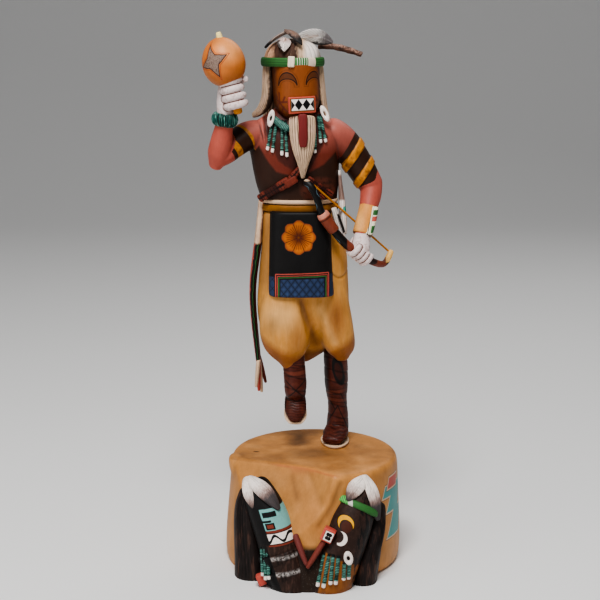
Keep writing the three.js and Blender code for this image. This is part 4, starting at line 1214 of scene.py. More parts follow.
SHIRT_ROWS = ((255, -10.7, 22, 26.5, 17), (263, -10.7, 22, 27.5, 17.6), (275, -12, 22, 30.5, 16.8),
    (290, -13.5, 22, 31.5, 17.8), (303, -14, 22, 33.5, 17.5), (312, -14, 22, 33, 15.5),
    (319, -14.5, 22, 28.5, 12.5), (325, -13.5, 22, 18, 10), (330, -13, 21, 12, 9))


ARM_BANDS = ((20.5, 27), (35, 41))


def arm_tilt(x, z):
    """How much further down the left arm a slanted band runs here than at the arm's middle."""
    return 0.42 * ((x - 30) * 0.81 + (z - 292) * 0.58)


class KACHINA_OT_body(bpy.types.Operator):
    """Builds the painted chest and arms as one carved form"""
    bl_idname = "kachina.body"
    bl_label = "Body and arms"

    def execute(self, context):
        parts = [upright("shirt", SHIRT_ROWS, sides=24, power=2.15),
            loft("arm_1", RIGHT_ARM, along=(0.4, 0, 1)), loft("arm_2", RIGHT_FOREARM),
            loft("arm_3", LEFT_ARM), loft("arm_4", LEFT_FOREARM)]
        body = fuse("body", parts, 0.6, 7)
        follow(body, "right_arm", RIGHT_ARM + RIGHT_FOREARM)
        follow(body, "left_arm", LEFT_ARM + LEFT_FOREARM)
        carve(body, chest_cut, full=1.2)
        finish_piece(body, body_paint())
        return {'FINISHED'}


def chest_cut(points, angle, reach):
    """The shoulder cloth's creases, a hollow under the breastbone, raised bands round the left arm and a
    slight unevenness.
    """
    x, y, z = points.T
    front = np.clip((16 - y) / 6, 0, 1)
    creases = np.zeros(len(points))
    for middle, lean in ((-40.5, 0.24), (-37.2, 0.16), (-34.2, 0.12)):
        line = middle + (324 - z) * lean
        creases += 0.7 * np.exp(-((x - line) / 0.55) ** 2) * (z > 303) * np.clip((z - 303) / 8, 0, 1)
    hollow = 1.2 * np.exp(-((x + 8) / 7) ** 2 - ((z - 290) / 12) ** 2)
    down = (x - 18.5) * 0.58 - (z - 308) * 0.81 + 6.9 + arm_tilt(x, z)
    raised = np.zeros(len(points))
    for low, high in ARM_BANDS:
        raised += 0.9 * np.clip(((high - low) / 2 - np.abs(down - (low + high) / 2)) / 0.8, 0, 1)
    arm = (x > 19) & (z < 312) & (z > 262)
    return front * (creases + hollow) + 0.12 * mottle(points, 4.0, 2.0) - raised * arm


def body_paint():
    """Red shoulders and forearms, a red V on a dark chest, and ochre bands on both arms. The red is painted
    paler towards the top as painted light, with a painted highlight on the doll's right shoulder; the
    shoulder cloth's folds and the chest under the beads get painted shade.
    """
    coat = Coat("body_paint", "skin_dark", wander=0.5)
    x, y, z = coat.place()
    right, right_gap, _ = coat.attribute("right_arm")
    left, left_gap, _ = coat.attribute("left_arm")
    on_right, on_left = inside(right_gap - 13.4, 0.8), inside(left_gap - 13.6, 0.8)
    # painted light: the red is paler towards the top, as lit from above
    red_lit_from_above = mixed(coat.tree, "skin_red", "skin_pink", ((z - 296) / 26).clamped())
    outer = (lean_above(x, z, (-42, 308), (-34, 293)).least(lean_above(x, z, (-34, 293), (-25.5, 282)))
        .least(lean_above(x, z, (-30, 284.5), (-8, 279.6))))
    collar = lean_above(x, z, (6.8, 289), (19, 295))
    outer = outer.least(lean_above(x, z, (-3.5, 278.5), (6.8, 289)).least(collar))
    inner = lean_above(x, z, (-33, 309), (-23.4, 289.5)).least(lean_above(x, z, (-24, 290), (-8, 280))
        - 1.5)
    inner = inner.least(lean_above(x, z, (-6, 283), (9, 308)))
    chest = inside(-outer, 1.6) * inside(inner, 2.5).most(inside(315 - z, 4))
    coat.lay(red_lit_from_above, chest * inside(y - 24, 3))
    coat.lay(red_lit_from_above, inside(306 - z, 3) * inside(24 - y, 3))
    # painted highlight on the top of the doll's right shoulder
    coat.lay("skin_pink", oval(x, z, (-43, 314), (9, 6), 8) * inside(y - 22, 6) * 0.9)
    # dark maroon inside the V: the chest's own dark paint with painted shade under the bead strands
    coat.lay((0.055, 0.012, 0.008), inside(-inner - 0.5, 2) * inside(-outer, 2) * inside(y - 20, 2) * 0.9)
    # dark lines: the first four are painted shade in the folds of the shoulder cloth; the last two are dark
    # lines on the chest
    for start, end in (((-41.8, 324), (-38, 309)), ((-38.6, 325), (-35.6, 308)), ((-35.2, 325), (-33, 306)),
            ((-43.6, 318), (-41, 306)), ((-26, 300), (-20, 288)), ((-21, 298), (-13, 285))):
        coat.lay((0.05, 0.01, 0.007), stroke(x, z, start, end, 0.35, 0.8) * inside(y - 18, 2) * 0.75)
    leathery = oval(x, z, (4, 271), (13, 9), 3) * inside(y - 16, 2)
    coat.lay((0.085, 0.022, 0.012), leathery * coat.specks(0.36, 5, 0.22))
    coat.lay(red_lit_from_above, on_right * inside(right - 9, 0.6))
    tilted = left + arm_tilt(x, z)
    coat.lay(red_lit_from_above, on_left * inside(tilted - 15.5, 0.6) * inside(287 - z, 2))
    brushed = coat.specks(0.5, 7, 0.16, (1, 1, 1), detail=2.0) * 0.75
    for mask, reach, dark, bands, elbow in ((on_right, right, (9, 38), ((9, 11.3), (20.5, 25.5)), 28.5),
            (on_left, tilted, (15.5, 47.5), ARM_BANDS, 47.5)):
        coat.lay("skin_dark", mask * between(reach, *dark, 0.6))
        for low, high in bands:
            coat.lay("ochre", mask * between(reach, low, high, 0.5))
            coat.lay((0.1, 0.03, 0.008), mask * between(reach, low, high, 0.5) * brushed)
            coat.lay("black", mask * between(reach, high, high + 0.7, 0.5) * 0.8)
        coat.lay("forearm", mask * inside(elbow - reach, 0.6))
    return coat.done(roughness=0.48, grain=0.14, uneven=0.2, wash=0.75)


KILT_ROWS = ((139, -13, 36, 10, 4.5), (147, -8, 34, 17, 8), (155, -5, 31, 25, 13.5),
    (163, -6, 28.5, 31.5, 17),
    (172, -7.2, 26, 34, 20), (184, -7.6, 24, 34.2, 22.4), (198, -7.4, 22.5, 33.6, 23.5),
    (214, -7.4, 22, 32.6, 23.2), (230, -7, 22, 30.8, 22), (245, -8.7, 22, 29, 20),
    (255, -10.7, 22, 27, 17.6))
RIGHT_LOBE = ((-17, 17, 206, 15.5, 16), (-19.5, 14, 186, 20, 17.5), (-20.5, 14.5, 168, 20.5, 16.5),
    (-19.6, 14.5, 155, 17.5, 14.5), (-18.2, 13.5, 147.5, 11.5, 10.5), (-17.8, 12.5, 142.6, 6.4, 6))
LEFT_LOBE = ((10, 19, 206, 12.5, 14), (13, 17.5, 186, 13.5, 15.5), (16.5, 19, 168, 13.5, 14.5),
    (19.5, 20.5, 155, 12.2, 12), (20.8, 20.5, 150, 10, 9.5), (21, 20.5, 146.8, 6, 5.6))
KILT_CREASE = ((-10, -3, 194, 1.6, 3.5), (-5.5, -1, 180, 3, 5), (-1, 2, 164, 4, 6), (1, 5, 150, 6, 8),
    (1, 6, 138, 8, 10))


class KACHINA_OT_kilt(bpy.types.Operator):
    """Builds the leather kilt, the belt and its cord"""
    bl_idname = "kachina.kilt"
    bl_label = "Kilt and belt"

    def execute(self, context):
        form = upright("kilt_form", KILT_ROWS, sides=28, power=2.15)
        lobes = [loft("kilt_right", RIGHT_LOBE, sides=18, power=2.2),
            loft("kilt_left", LEFT_LOBE, sides=18, power=2.3)]
        kilt = fuse("kilt", [form, *lobes], 0.8, 6)
        cut_away(kilt, loft("crease", KILT_CREASE, sides=10))
        remesh(kilt, 0.76, 12)
        carve(kilt, kilt_cut, full=2.6)
        modify(kilt, 'SMOOTH', factor=0.5, iterations=3)
        finish_piece(smooth_shaded(kilt), kilt_paint())
        limb("belt", [(255, -10.7, 22, 28.2, 18.7), (257.5, -10.7, 22, 28.9, 19.4),
            (260.2, -10.7, 22, 28.2, 18.7)], plain_paint("belt_ochre", dim("ochre", 0.42),
            uneven=0.35), make=upright, sides=36)
        limb("belt_cord", [(260.8, -10.7, 22, 27.6, 18.2), (262.4, -10.7, 22, 28.6, 19.2),
            (264, -10.7, 22, 27.6, 18.2)], plain_paint("belt_cord", "cream"), make=upright, sides=36)
        paint = strap_paint()
        straps = {
            "bandolier": ([(-38.5, 10, 264.6, 3.2, 1.6), (-34, 7, 268, 3.7, 2), (-26, 4.6, 272.6, 3.7, 2.1),
                (-18.5, 3.6, 277.6, 3.7, 2.1)], (-0.55, 0, 0.83)),
            "strap_upper": ([(-16, 3, 279.5, 3, 1.8), (-12.6, 2.6, 284, 2.4, 1.8),
                (-9.5, 2.6, 288, 1.8, 1.6)], (-0.8, 0, 0.6)),
            "strap_right": ([(-3.4, 4.6, 279.6, 1.8, 1.6), (3, 4.4, 274.6, 2, 1.6),
                (12.6, 7, 268.4, 1.8, 1.6)], (0.5, 0, 0.86)),
            "strap_low": ([(-2.6, 4.4, 275, 1.4, 1.4), (2, 4.2, 269.6, 1.5, 1.4),
                (6.6, 4.6, 265.4, 1.4, 1.4)], (0.7, 0, 0.7)),
        }
        for name, (stations, along) in straps.items():
            limb(name, stations, paint, cut=ladder_cut, along=along, power=3)
        pouch = block("strap_pouch", (-16.4, 3.4, 277.4), (9.6, 4.2, 5.6), turn=(6, -33, 0), edge=1.1)
        finish_piece(pouch, plain_paint("pouch_leather", "skin_red", grain=0.3))
        return {'FINISHED'}


def ladder_cut(points, angle, reach):
    """Cross grooves and one groove along the middle, as on a laced strap."""
    rungs = np.abs((reach / 2.5) % 1 - 0.5) < 0.16
    middle = np.abs(np.cos(angle)) < 0.14
    return np.where(rungs | middle, 0.5, 0.0)


def strap_paint():
    """Red-brown leather with dark cross strokes between two edges."""
    coat = Coat("strap_leather", "skin_red", wander=0.15)
    across, _, reach = coat.attribute("place")
    rung = inside((reach - 1.25).folded(2.5) - 0.35, 0.3) * inside(abs(across) - 0.62, 0.12)
    coat.lay((0.02, 0.006, 0.004), rung * 0.9)
    coat.lay((0.02, 0.006, 0.004), inside(abs(across) - 0.09, 0.08) * 0.8)
    return coat.done(roughness=0.5, grain=0.25, uneven=0.2, wash=0.8)


def kilt_cut(points, angle, reach):
    """Broad hollows and soft upright folds, deepest between the legs and at the left hip."""
    x, y, z = points.T
    deep = sizes().fold_depth
    front = np.clip((26 - y) / 14, 0, 1)
    low = np.clip((235 - z) / 40, 0, 1)
    folds = 0.16 * deep * (1 + drift(x / 4.6 + 0.03 * z, 1.0)) * low
    hollow = deep * np.exp(-((x - 14 + 0.1 * (z - 178)) / 7) ** 2 - ((z - 180) / 16) ** 2)
    seam = 0.9 * np.exp(-((z - 207.5 - 0.12 * (x - 19) ** 2) / 0.9) ** 2) * (x > 11) * (x < 27)
    middle = 0.5 * deep * np.exp(-((x + 4.5 + 0.33 * (z - 176)) / 3.4) ** 2) * np.clip((200 - z) / 14, 0, 1)
    return front * (hollow + middle + seam) + folds * 0.8 + 0.1 * mottle(points, 6.0, 3.0)


def kilt_paint():
    """Tan leather: a pale upright grain, painted highlights on both lobes, reddish painted shade in the
    hollows and under the apron, and darker towards the lower edge.
    """
    coat = Coat("kilt_paint", "leather", wander=0.8)
    x, y, z = coat.place()
    front = inside(y - 24, 12)
    streak = coat.noise(0.35, (1, 1, 0.12))
    coat.lay("leather_pale", (streak * 3 - 1.25).clamped() * 0.3)
    # painted highlights on the doll's right lobe and down the left one
    pale = oval(x, z, (-24, 181), (13, 10), 12)
    pale = pale.most(stroke(x, z, (4.5, 186), (15, 160), 1.2, 6))
    coat.lay("leather_pale", pale * front * 0.75)
    # painted shade: reddish where the kilt is hollowed
    red = stroke(x, z, (-9, 192), (2, 156), 2.2, 7)
    red = red.most(oval(x, z, (17, 179), (5, 13), 8))
    red = red.most(oval(x, z, (-12, 163), (5, 12), 9) * 0.6)
    coat.lay("leather_red", red * front * 0.75)
    # darker and redder towards the lower edge
    coat.lay("leather_red", inside(z - 150 - 0.012 * (x + 4) * (x + 4), 7) * 0.8)
    coat.lay((0.16, 0.07, 0.02), oval(x, z, (-31, 174), (4, 5), 7) * front * 0.4)
    # painted shade under the apron's edge
    coat.lay((0.2, 0.09, 0.03), inside(200 - z, 9) * inside(x - 14, 5) * front * 0.6)
    return coat.done(roughness=0.5, grain=0.16, uneven=0.3, wash=0.35)


class KACHINA_OT_cloth(bpy.types.Operator):
    """Builds the apron, the long sash and the folded ends at the hip"""
    bl_idname = "kachina.cloth"
    bl_label = "Apron and sash"

    def execute(self, context):
        limb("apron", [(195, -9, 10, 24, 15), (204, -9.2, 10, 23.6, 14.6), (226, -9.5, 11, 22.8, 15),
            (246, -9.8, 13.5, 22.2, 15.8), (256, -9.8, 14, 22, 15.4)],
            apron_paint(), make=upright, sides=24, power=3.4)
        limb("sash", [(-37, 25, 266, 2.6, 10), (-38.5, 25, 250, 2.8, 11), (-40.5, 26, 230, 3, 11.5),
            (-44, 27, 208, 2.8, 11.5), (-45.3, 28, 190, 2.4, 11.5), (-43.2, 28, 165, 2.2, 11),
            (-41.4, 28, 148, 2, 10.5), (-40.6, 28, 140, 1.8, 10)], sash_paint(), sides=16, power=3)
        tails = ((-42.4, 20, 124, "cream"), (-40.6, 26, 119.5, "red"), (-38.6, 30, 117.5, "cream"),
            (-35.8, 35, 123.5, "skin_red"))
        for k, (x, y, z, tint) in enumerate(tails):
            limb(f"sash_fringe_{k + 1}", [(-40.6, 20 + (y - 20) * 0.9, 143, 1.8, 3.4),
                ((x - 40.6) / 2, y, (z + 143) / 2, 1.8, 2.8), (x, y, z, 1.2, 1.8)],
                plain_paint(f"fringe_{k + 1}", tint, grain=0.3), sides=10)
        flaps = {"hip_flap_back": [(18.2, 20, 283, 1.2, 4), (19.2, 18.6, 271, 1.7, 5.4),
            (20.4, 18, 258, 2.8, 6.6), (21.4, 16.5, 246, 2.6, 6), (22.6, 15, 239, 1.2, 3)],
            "hip_flap_front": [(14.4, 9, 257, 2.2, 3.8), (17.2, 8.4, 247, 2.8, 3.8),
            (20.4, 9, 238.4, 2.2, 3), (21.8, 9.4, 234.6, 0.9, 1.2)]}
        for name, stations in flaps.items():
            limb(name, stations, flap_paint(name), cut=strands_cut(9, 0.3, 1.0), power=2.6)
        return {'FINISHED'}


def flap_paint(name):
    """White cloth with black strips and one turquoise spot."""
    coat = Coat(name, "white", wander=0.3)
    x, _, z = coat.place()
    slope = x + (z - 250) * 0.34 - 18.4
    coat.lay("black", inside(abs(slope) - 0.9, 0.4) * inside(z - 254, 1) * inside(240 - z, 1))
    coat.lay(dim("blue", 0.9), inside(abs(slope + 1.4) - 0.3, 0.3) * inside(z - 252, 1) * 0.7)
    coat.lay((0.14, 0.06, 0.04), between(z, 263, 281, 1.5) * 0.85)
    coat.lay(dim("turquoise", 4), oval(x, z, (22.4, 256.4), (1.8, 2.2), 0.6))
    return coat.done(roughness=0.6, grain=0.25, uneven=0.3, wash=0.8)


def apron_paint():
    """Black cloth with an ochre flower, and a blue latticed panel inside red and green lines."""
    coat = Coat("apron_paint", "black", wander=0.22)
    x, y, z = coat.place()
    front = inside(y - 14, 1)
    a, b = x + 10.9, z - 238.3
    radius = length_of(a, b)
    angle = b.math('ARCTAN2', a) + TURN / 16
    petal = angle.folded(TURN / 8) * radius
    lobe = 10.6 + 1.5 * (petal / 3.6).math('MINIMUM', 1.0)
    flower = inside(radius - lobe, 0.5) * front
    coat.lay("flower", flower)
    coat.lay(dim("flower", 0.2), flower * inside(radius - 4.5, 5) * 0.75)
    coat.lay(dim("flower", 1.5), flower * between(radius, 8.4, 10.4, 1.6) * inside(1.4 - petal, 1.2) * 0.6)
    coat.lay("black", flower * inside(petal - 0.22, 0.3) * inside(1 - radius, 1))
    fine = angle.folded(TURN / 32) * radius - 0.16
    coat.lay((0.06, 0.008, 0.004), flower * inside(fine, 0.3) * between(radius, 1, 8.8, 1.2))
    coat.lay(dim("red", 0.35), flower * inside(lobe - radius - 0.8, 0.6) * 0.5)
    tilt = z - 0.035 * (x + 9)
    for left, right, top, wide, paint in ((-27.4, 10.4, 212.4, 0.36, "red"),
            (-26.2, 9.4, 211.0, 0.22, "red"), (-25.2, 8.5, 209.9, 0.38, "green")):
        rails = abs(abs(x - (left + right) / 2) - (right - left) / 2) - wide
        rails = rails.most(tilt - top)
        bar = (abs(tilt - top) - wide).most(abs(x - (left + right) / 2) - (right - left) / 2)
        coat.lay(paint, inside(rails.least(bar), 0.3) * front * 0.9)
    panel = inside(box_gap(x, tilt, (-8.3, 201.5), (15.6, 6.9)), 0.4)
    strips = between(x, -34, -28.4) * inside(tilt - 210.5, 0.5)
    coat.lay("blue", panel.most(strips) * front)
    coat.lay(dim("blue", 0.6), between(x, 11.2, 16.0) * inside(tilt - 211, 0.5) * front)
    slant = 1.25
    lattice = (x + b / slant).folded(5.4).least((x - b / slant).folded(5.4)) - 0.28
    coat.lay("black", inside(lattice, 0.35) * panel.most(strips) * front * 0.85)
    coat.lay(dim("blue", 2.4), inside(1.3 - lattice, 0.8) * panel * coat.noise(0.3) * front * 0.7)
    return coat.done(roughness=0.5, grain=0.25, uneven=0.4)


def sash_paint():
    """Cream above, then a red edge with black and green beside it, and cream again at the foot."""
    coat = Coat("sash_paint", "cream", wander=0.3)
    across, ahead, _ = coat.attribute("place")
    x, _, z = coat.place()
    coat.lay((0.3, 0.15, 0.09), coat.specks(0.5, 6, 0.5, (1, 1, 0.12))
        * inside(ahead * -1 - 0.2, 0.4) * 0.7)
    # painted shade on the sash's face that lies against the body, in its upper part
    coat.lay((0.1, 0.03, 0.02), inside(0.35 - across, 0.3) * inside(236 - z, 6) * 0.8)
    lower = inside(z - 231, 1.5)
    coat.lay("black", lower)
    coat.lay("red", lower * inside(across + 0.5, 0.12) * 0.9)
    coat.lay(dim("green", 0.7), lower * between(across, 0.02, 0.2, 0.05))
    coat.lay("skin_red", lower * inside(0.5 - across, 0.12) * 0.9)
    coat.lay("red", inside(z - 268, 2) * inside(256 - z, 3) * inside(-36.8 - x, 0.8) * 0.6)
    return coat.done(roughness=0.6, grain=0.3, uneven=0.3)


# ---------- arms' ornaments, hands and legs ----------

STICK_FOOT = Vector((-53.2, -4, 326.9))
STICK_HEAD = Vector((-66.5, -4, 382))
STICK_WAY = (STICK_HEAD - STICK_FOOT).normalized()
BOW_GRIP = Vector((32.9, 3, 226.3))
BOW_WAY = Vector((0.7, 0.36, -0.615)).normalized()


def fingers(start, way, spacing, curl, turn_from, turn_to, reach, radius):
    """Four fingers that curl round a shaft, each an arc about the shaft's line."""
    across = (Vector(reach) - way * Vector(reach).dot(way)).normalized()
    ahead = way.cross(across)
    made = []
    for k in range(4):
        middle = start + way * spacing * k
        stations = []
        for step in range(6):
            angle = math.radians(turn_from + (turn_to - turn_from) * step / 5)
            spot = middle + across * curl * math.cos(angle) + ahead * curl * math.sin(angle)
            thick = radius * (0.94, 1.06, 0.92, 1.05, 0.92, 0.78)[step]
            stations.append((*spot, thick, thick * 0.92))
        made.append(loft("finger", stations, along=way, sides=10, ends=0.8, levels=1))
    return made


class KACHINA_OT_hands(bpy.types.Operator):
    """Builds both hands, the bracelet and the cuff"""
    bl_idname = "kachina.hands"
    bl_label = "Hands and cuffs"

    def execute(self, context):
        radius = sizes().finger_radius
        paint = hand_paint()
        palm = loft("palm", [(-62, -1, 322, 6, 5.4), (-62.6, 0, 330, 6, 6.2), (-63, 1, 339, 5.4, 6.6),
            (-62, 1.5, 347, 4.4, 5.4)], levels=1)
        thumb = loft("thumb", [(-60, 5, 338, 3, 3), (-55, 5.5, 345, 3, 3), (-50, 2.5, 349.5, 2.8, 2.8),
            (-48, -3, 349.5, 2.4, 2.4)], levels=1)
        curled = fingers(STICK_FOOT + STICK_WAY * 5.2, STICK_WAY, 5.6, 7, 195, 372, (1, 0, 0), radius)
        finish_piece(fuse("right_hand", [palm, thumb, *curled], 0.35, 3), paint)
        palm = loft("palm", [(34.3, 7, 240, 5.6, 5.2), (34, 4, 234.5, 6.6, 5.2),
            (33, 1, 229, 7, 4.6)], levels=1)
        thumb = loft("thumb", [(30, 7, 236, 2.6, 2.6), (26, 5.5, 232, 2.6, 2.6),
            (25, 2.5, 226.5, 2.3, 2.3)], levels=1)
        curled = fingers(BOW_GRIP - BOW_WAY * 6, BOW_WAY, 4, 5.6, 60, 300, (0.55, 0.2, 0.8), radius * 0.83)
        finish_piece(fuse("left_hand", [palm, thumb, *curled], 0.35, 3), paint)
        bracelet = loft("bracelet", [(-63.2, -0.6, 317.5, 7.6, 7.6), (-62.9, -1, 319.5, 9.6, 9.4),
            (-62.3, -1.2, 323.5, 9.8, 9.4), (-62, -1.4, 326, 7.8, 7.6)], sides=24, ends=0)
        modify(bracelet, 'SUBSURF', levels=1, render_levels=1)
        carve(bracelet, spikes_cut)
        finish_piece(bracelet, bracelet_paint())
        limb("cuff", [(39.4, 15.8, 258, 7, 7), (37.2, 12, 249.5, 7, 7), (34.4, 7.4, 239, 7.4, 7.2)],
            cuff_paint(), power=2.4, ends=0)
        limb("cuff_plate", [(43.5, 13, 257.5, 3, 4.5), (41.8, 9, 248, 3, 4.5), (38.6, 4.6, 238.5, 3, 4.5)],
            plate_paint(), power=3, ends=0)
        return {'FINISHED'}


def spikes_cut(points, angle, reach):
    """Upright notches round the bracelet, each leaning its own way."""
    sway = 1.4 * np.sin(angle * 5) + 0.8 * np.sin(angle * 11 + 1)
    return 0.55 * (1 + np.sin(angle * 34 + sway + reach * 0.5))


def bracelet_paint():
    coat = Coat("bracelet_turquoise", "turquoise", wander=0.3)
    tick = (coat.noise(0.55, (1, 1, 0.22)) * 6 - 3.1).clamped()
    coat.lay("bead_pale", tick * 0.85)
    coat.lay("black", coat.specks(0.56, 8, 0.7, (1, 1, 0.2), detail=1.0) * 0.85)
    return coat.done(roughness=0.5, grain=0.3, uneven=0.4, wash=0.85)


def cuff_paint():
    """Tan leather with a dark lower hem and a painted highlight on its side."""
    coat = Coat("cuff_leather", "cuff", wander=0.3)
    x, _, z = coat.place()
    edge = z + 0.08 * (x - 33)
    coat.lay(dim("cuff", 0.2), inside(edge - 241.2, 0.6) * 0.9)
    # painted highlight on the cuff's side
    coat.lay("leather_pale", oval(x, z, (31, 250), (3, 8), 5) * 0.6)
    return coat.done(roughness=0.5, grain=0.2, uneven=0.25)


def plate_paint():
    """A white plate with green and red blocks between dark lines."""
    coat = Coat("cuff_plate", "plate_white", wander=0.12)
    x, _, z = coat.place()
    along = z - 248.4
    across = x - 41.6 - along * 0.19
    coat.lay("black", inside(abs(across + 2.0) - 0.3, 0.25))
    coat.lay("black", inside(abs(across + 0.7) - 0.16, 0.2) * 0.7)
    middle = between(across, -0.6, 3.6, 0.3)
    coat.lay(dim("green", 0.8), middle * between(along, 4.6, 8.2))
    coat.lay("red", middle * between(along, 0.4, 3.8))
    coat.lay("green", middle * between(along, -7.6, -2.6) * inside(abs(across - 1.2) - 1.3, 0.3))
    coat.lay(dim("cuff", 0.2), inside(along + 8.6, 0.6) * 0.9)
    return coat.done(roughness=0.5, grain=0.1, uneven=0.15)


def hand_paint():
    coat = Coat("hand_white", "hand")
    # painted shade between the fingers: dark brown where the carving is deep
    shade = coat.number("carved")
    coat.lay((0.16, 0.05, 0.025), ((shade - 0.05) * 7).clamped() * 0.9)
    coat.lay((0.3, 0.14, 0.1), inside(coat.noise(0.35) - 0.42, 0.06) * 0.35)
    return coat.done(roughness=0.5, grain=0.12, wash=0.5)


class KACHINA_OT_legs(bpy.types.Operator):
    """Builds the raised leg and the standing leg in their moccasins"""
    bl_idname = "kachina.legs"
    bl_label = "Legs"

    def execute(self, context):
        bent = [loft("leg_1", [(-15, 17, 158, 8.6, 9.5), (-14.7, 16, 143, 8.4, 9.2),
            (-13.4, 15, 131, 8.9, 9.6), (-13.3, 12.5, 121, 8.4, 10.4)]), loft("leg_2",
            [(-13.6, 22, 121, 6.2, 6.4), (-13.5, 16, 117, 8.0, 7.6), (-13.4, 11, 111.6, 8.9, 6),
            (-13.3, 7.4, 106.6, 8.0, 4.6), (-13.2, 4.6, 102.8, 5.0, 2.6)], ends=0.9)]
        raised = fuse("raised_leg", bent, 0.5, 5)
        carve(raised, boot_cut)
        finish_piece(raised, raised_boot_paint())
        sole_paint = plain_paint("sole_hide", "cream")
        limb("raised_sole", [(-13.6, 25, 116.5, 6.2, 1.2), (-13.5, 18, 111.2, 8, 1.2),
            (-13.3, 11, 105, 9.2, 1.2),
            (-13.2, 7, 101.8, 8, 1.1), (-13.2, 4.6, 99.9, 5.2, 1)], sole_paint, ends=0.9)
        standing = [loft("leg_3", [(16, 27, 160, 9, 10), (16.4, 28.5, 144, 9.4, 10), (17, 30, 130, 9.3, 10),
            (17.2, 30.8, 120, 9.1, 9.6), (18, 31.6, 110, 7.1, 8.4), (18.6, 32, 101, 8, 9),
            (18.2, 32, 90, 8.8, 10.5), (17.8, 31.5, 84, 9, 11)]),
            loft("leg_4", [(18.6, 40, 87, 7.6, 6.6), (18, 31, 88.5, 9.4, 8.2), (16.2, 21.5, 86.5, 10, 6),
            (13.6, 13, 84.2, 8, 3.8)])]
        leg = fuse("standing_leg", standing, 0.5, 5)
        carve(leg, boot_cut)
        finish_piece(cut_flat(leg, 79.6), standing_boot_paint())
        limb("standing_sole", [(79.3, 16.2, 28, 10.4, 20.5), (81.1, 16.2, 28, 10.8, 21)], sole_paint,
            make=upright, sides=28)
        return {'FINISHED'}


def boot_cut(points, angle, reach):
    """Soft creases across the shaft, and finer ones over the toe."""
    x, y, z = points.T
    shaft = 0.2 * np.exp(-((np.abs((z + 0.25 * x) / 9 % 1 - 0.5)) / 0.09) ** 2)
    toe = 0.07 * (1 + np.sin(z * 3.4 + 0.25 * x + np.sin(x * 0.9)))
    low = np.where(x < 2, z < 117, z < 96)
    return np.where(low, toe * (y < 24), shaft) + 0.1 * mottle(points, 3.0, 4.0)


def laced_leather(name, laces, rings, middle):
    """Red-brown leather with dark laces, and creases painted as a pale band of painted highlight between
    dark lines of painted shade; numbers are x and z at the front.
    """
    coat = Coat(name, "boot", wander=0.35)
    x, y, z = coat.place()
    coat.lay("boot_pale", coat.specks(0.42, 4, 0.22, (1, 1, 1.6)) * 0.8)
    for start, end in laces:
        coat.lay("black", stroke(x, z, start, end, 0.4, 0.5) * inside(y - 33, 2) * 0.9)
    for height, slope, half in rings:
        band = abs(z - height - slope * (x - middle)) - half
        # creases in paint: a pale band as a painted highlight, dark lines on both sides as painted shade
        coat.lay(dim("boot_pale", 1.5), inside(band, 0.6) * 0.5)
        coat.lay("black", inside(abs(band - 0.6) - 0.2, 0.4) * 0.7)
    return coat, x, y, z


def raised_boot_paint():
    coat, *_ = laced_leather("raised_boot", (((-20.5, 131), (-6.6, 119)), ((-6.4, 131), (-20, 118)),
        ((-20, 118), (-21, 110)), ((-6.6, 119), (-5, 111))), ((137, 0.05, 1.4), (142, -0.08, 1.1)), -6.6)
    return coat.done(roughness=0.42, grain=0.2, uneven=0.35, wash=0.8)


def standing_boot_paint():
    """The standing boot also has two long dark ovals, one inside the other, on its shaft, painted shade on
    its inner side and a painted highlight down its shin.
    """
    coat, x, y, z = laced_leather("standing_boot", (((18, 108), (7, 88)), ((18, 108), (26.5, 89)),
        ((20, 118), (26, 104)), ((10, 116), (16, 105))), ((118, 0.12, 1.2), (113, -0.1, 1.1)), 10)
    shape = oval_gap(x + 0.2 * (z - 134), z, (18.6, 135), (4.2, 10.5))
    coat.lay(dim("boot", 0.5), inside(shape, 0.6) * inside(y - 30, 2) * 0.8)
    coat.lay("black", inside(abs(shape + 0.6) - 0.85, 0.4) * inside(y - 30, 2) * 0.95)
    # painted shade on the leg's inner side, towards the raised leg and under the kilt
    coat.lay("black", inside(x - 11.6, 2.5) * between(z, 118, 150, 5) * 0.75)
    # painted highlight down the shin
    coat.lay(dim("boot_pale", 1.6), oval(x, z, (23.5, 142), (1.6, 8), 1.5) * 0.7)
    return coat.done(roughness=0.42, grain=0.2, uneven=0.35, wash=0.8)


# ---------- rattle, bow and feathers ----------

GOURD_CENTRE, GOURD_WIDE, GOURD_TALL = Vector((-62.9, -4, 361.2)), 15, 17.2


class KACHINA_OT_rattle(bpy.types.Operator):
    """Builds the gourd rattle on its peg"""
    bl_idname = "kachina.rattle"
    bl_label = "Rattle"

    def execute(self, context):
        deselect()
        bpy.ops.mesh.primitive_uv_sphere_add(segments=64, ring_count=40, radius=1)
        gourd = bpy.context.object
        gourd.name = gourd.data.name = "rattle_gourd_shell"
        points = points_of(gourd.data) * MM
        points[:, :2] *= (GOURD_WIDE * (1 - 0.05 * points[:, 2]))[:, None]
        points[:, 2] *= GOURD_TALL
        put_points(gourd.data, points)
        turn = STICK_WAY.to_track_quat('Z', 'Y').to_matrix().to_4x4()
        gourd.data.transform(Matrix.Translation(GOURD_CENTRE * MM) @ turn)
        local = points_of(gourd.data) - np.array(GOURD_CENTRE)
        sideways = local @ np.array(Vector((STICK_WAY.z, 0, -STICK_WAY.x)))
        along = local @ np.array(STICK_WAY)
        note(gourd.data, "face", np.stack([np.arctan2(sideways, -local[:, 1]) * GOURD_WIDE, along,
            sideways], axis=1))
        finish_piece(smooth_shaded(gourd), gourd_paint(), "rattle_gourd", "gourd_wood")
        length = (STICK_HEAD - STICK_FOOT).length
        at = lambda distance: tuple(STICK_FOOT + STICK_WAY * distance)
        limb("rattle_peg", [(*at(0), 3.4, 3.4), (*at(5), 3.3, 3.3), (*at(length - 8), 2.6, 2.6),
            (*at(length - 3), 2.2, 2.2), (*at(length - 1.2), 1.9, 1.9)],
            peg_paint(), "rattle_stick", "stick_wood", ends=0.5)
        return {'FINISHED'}


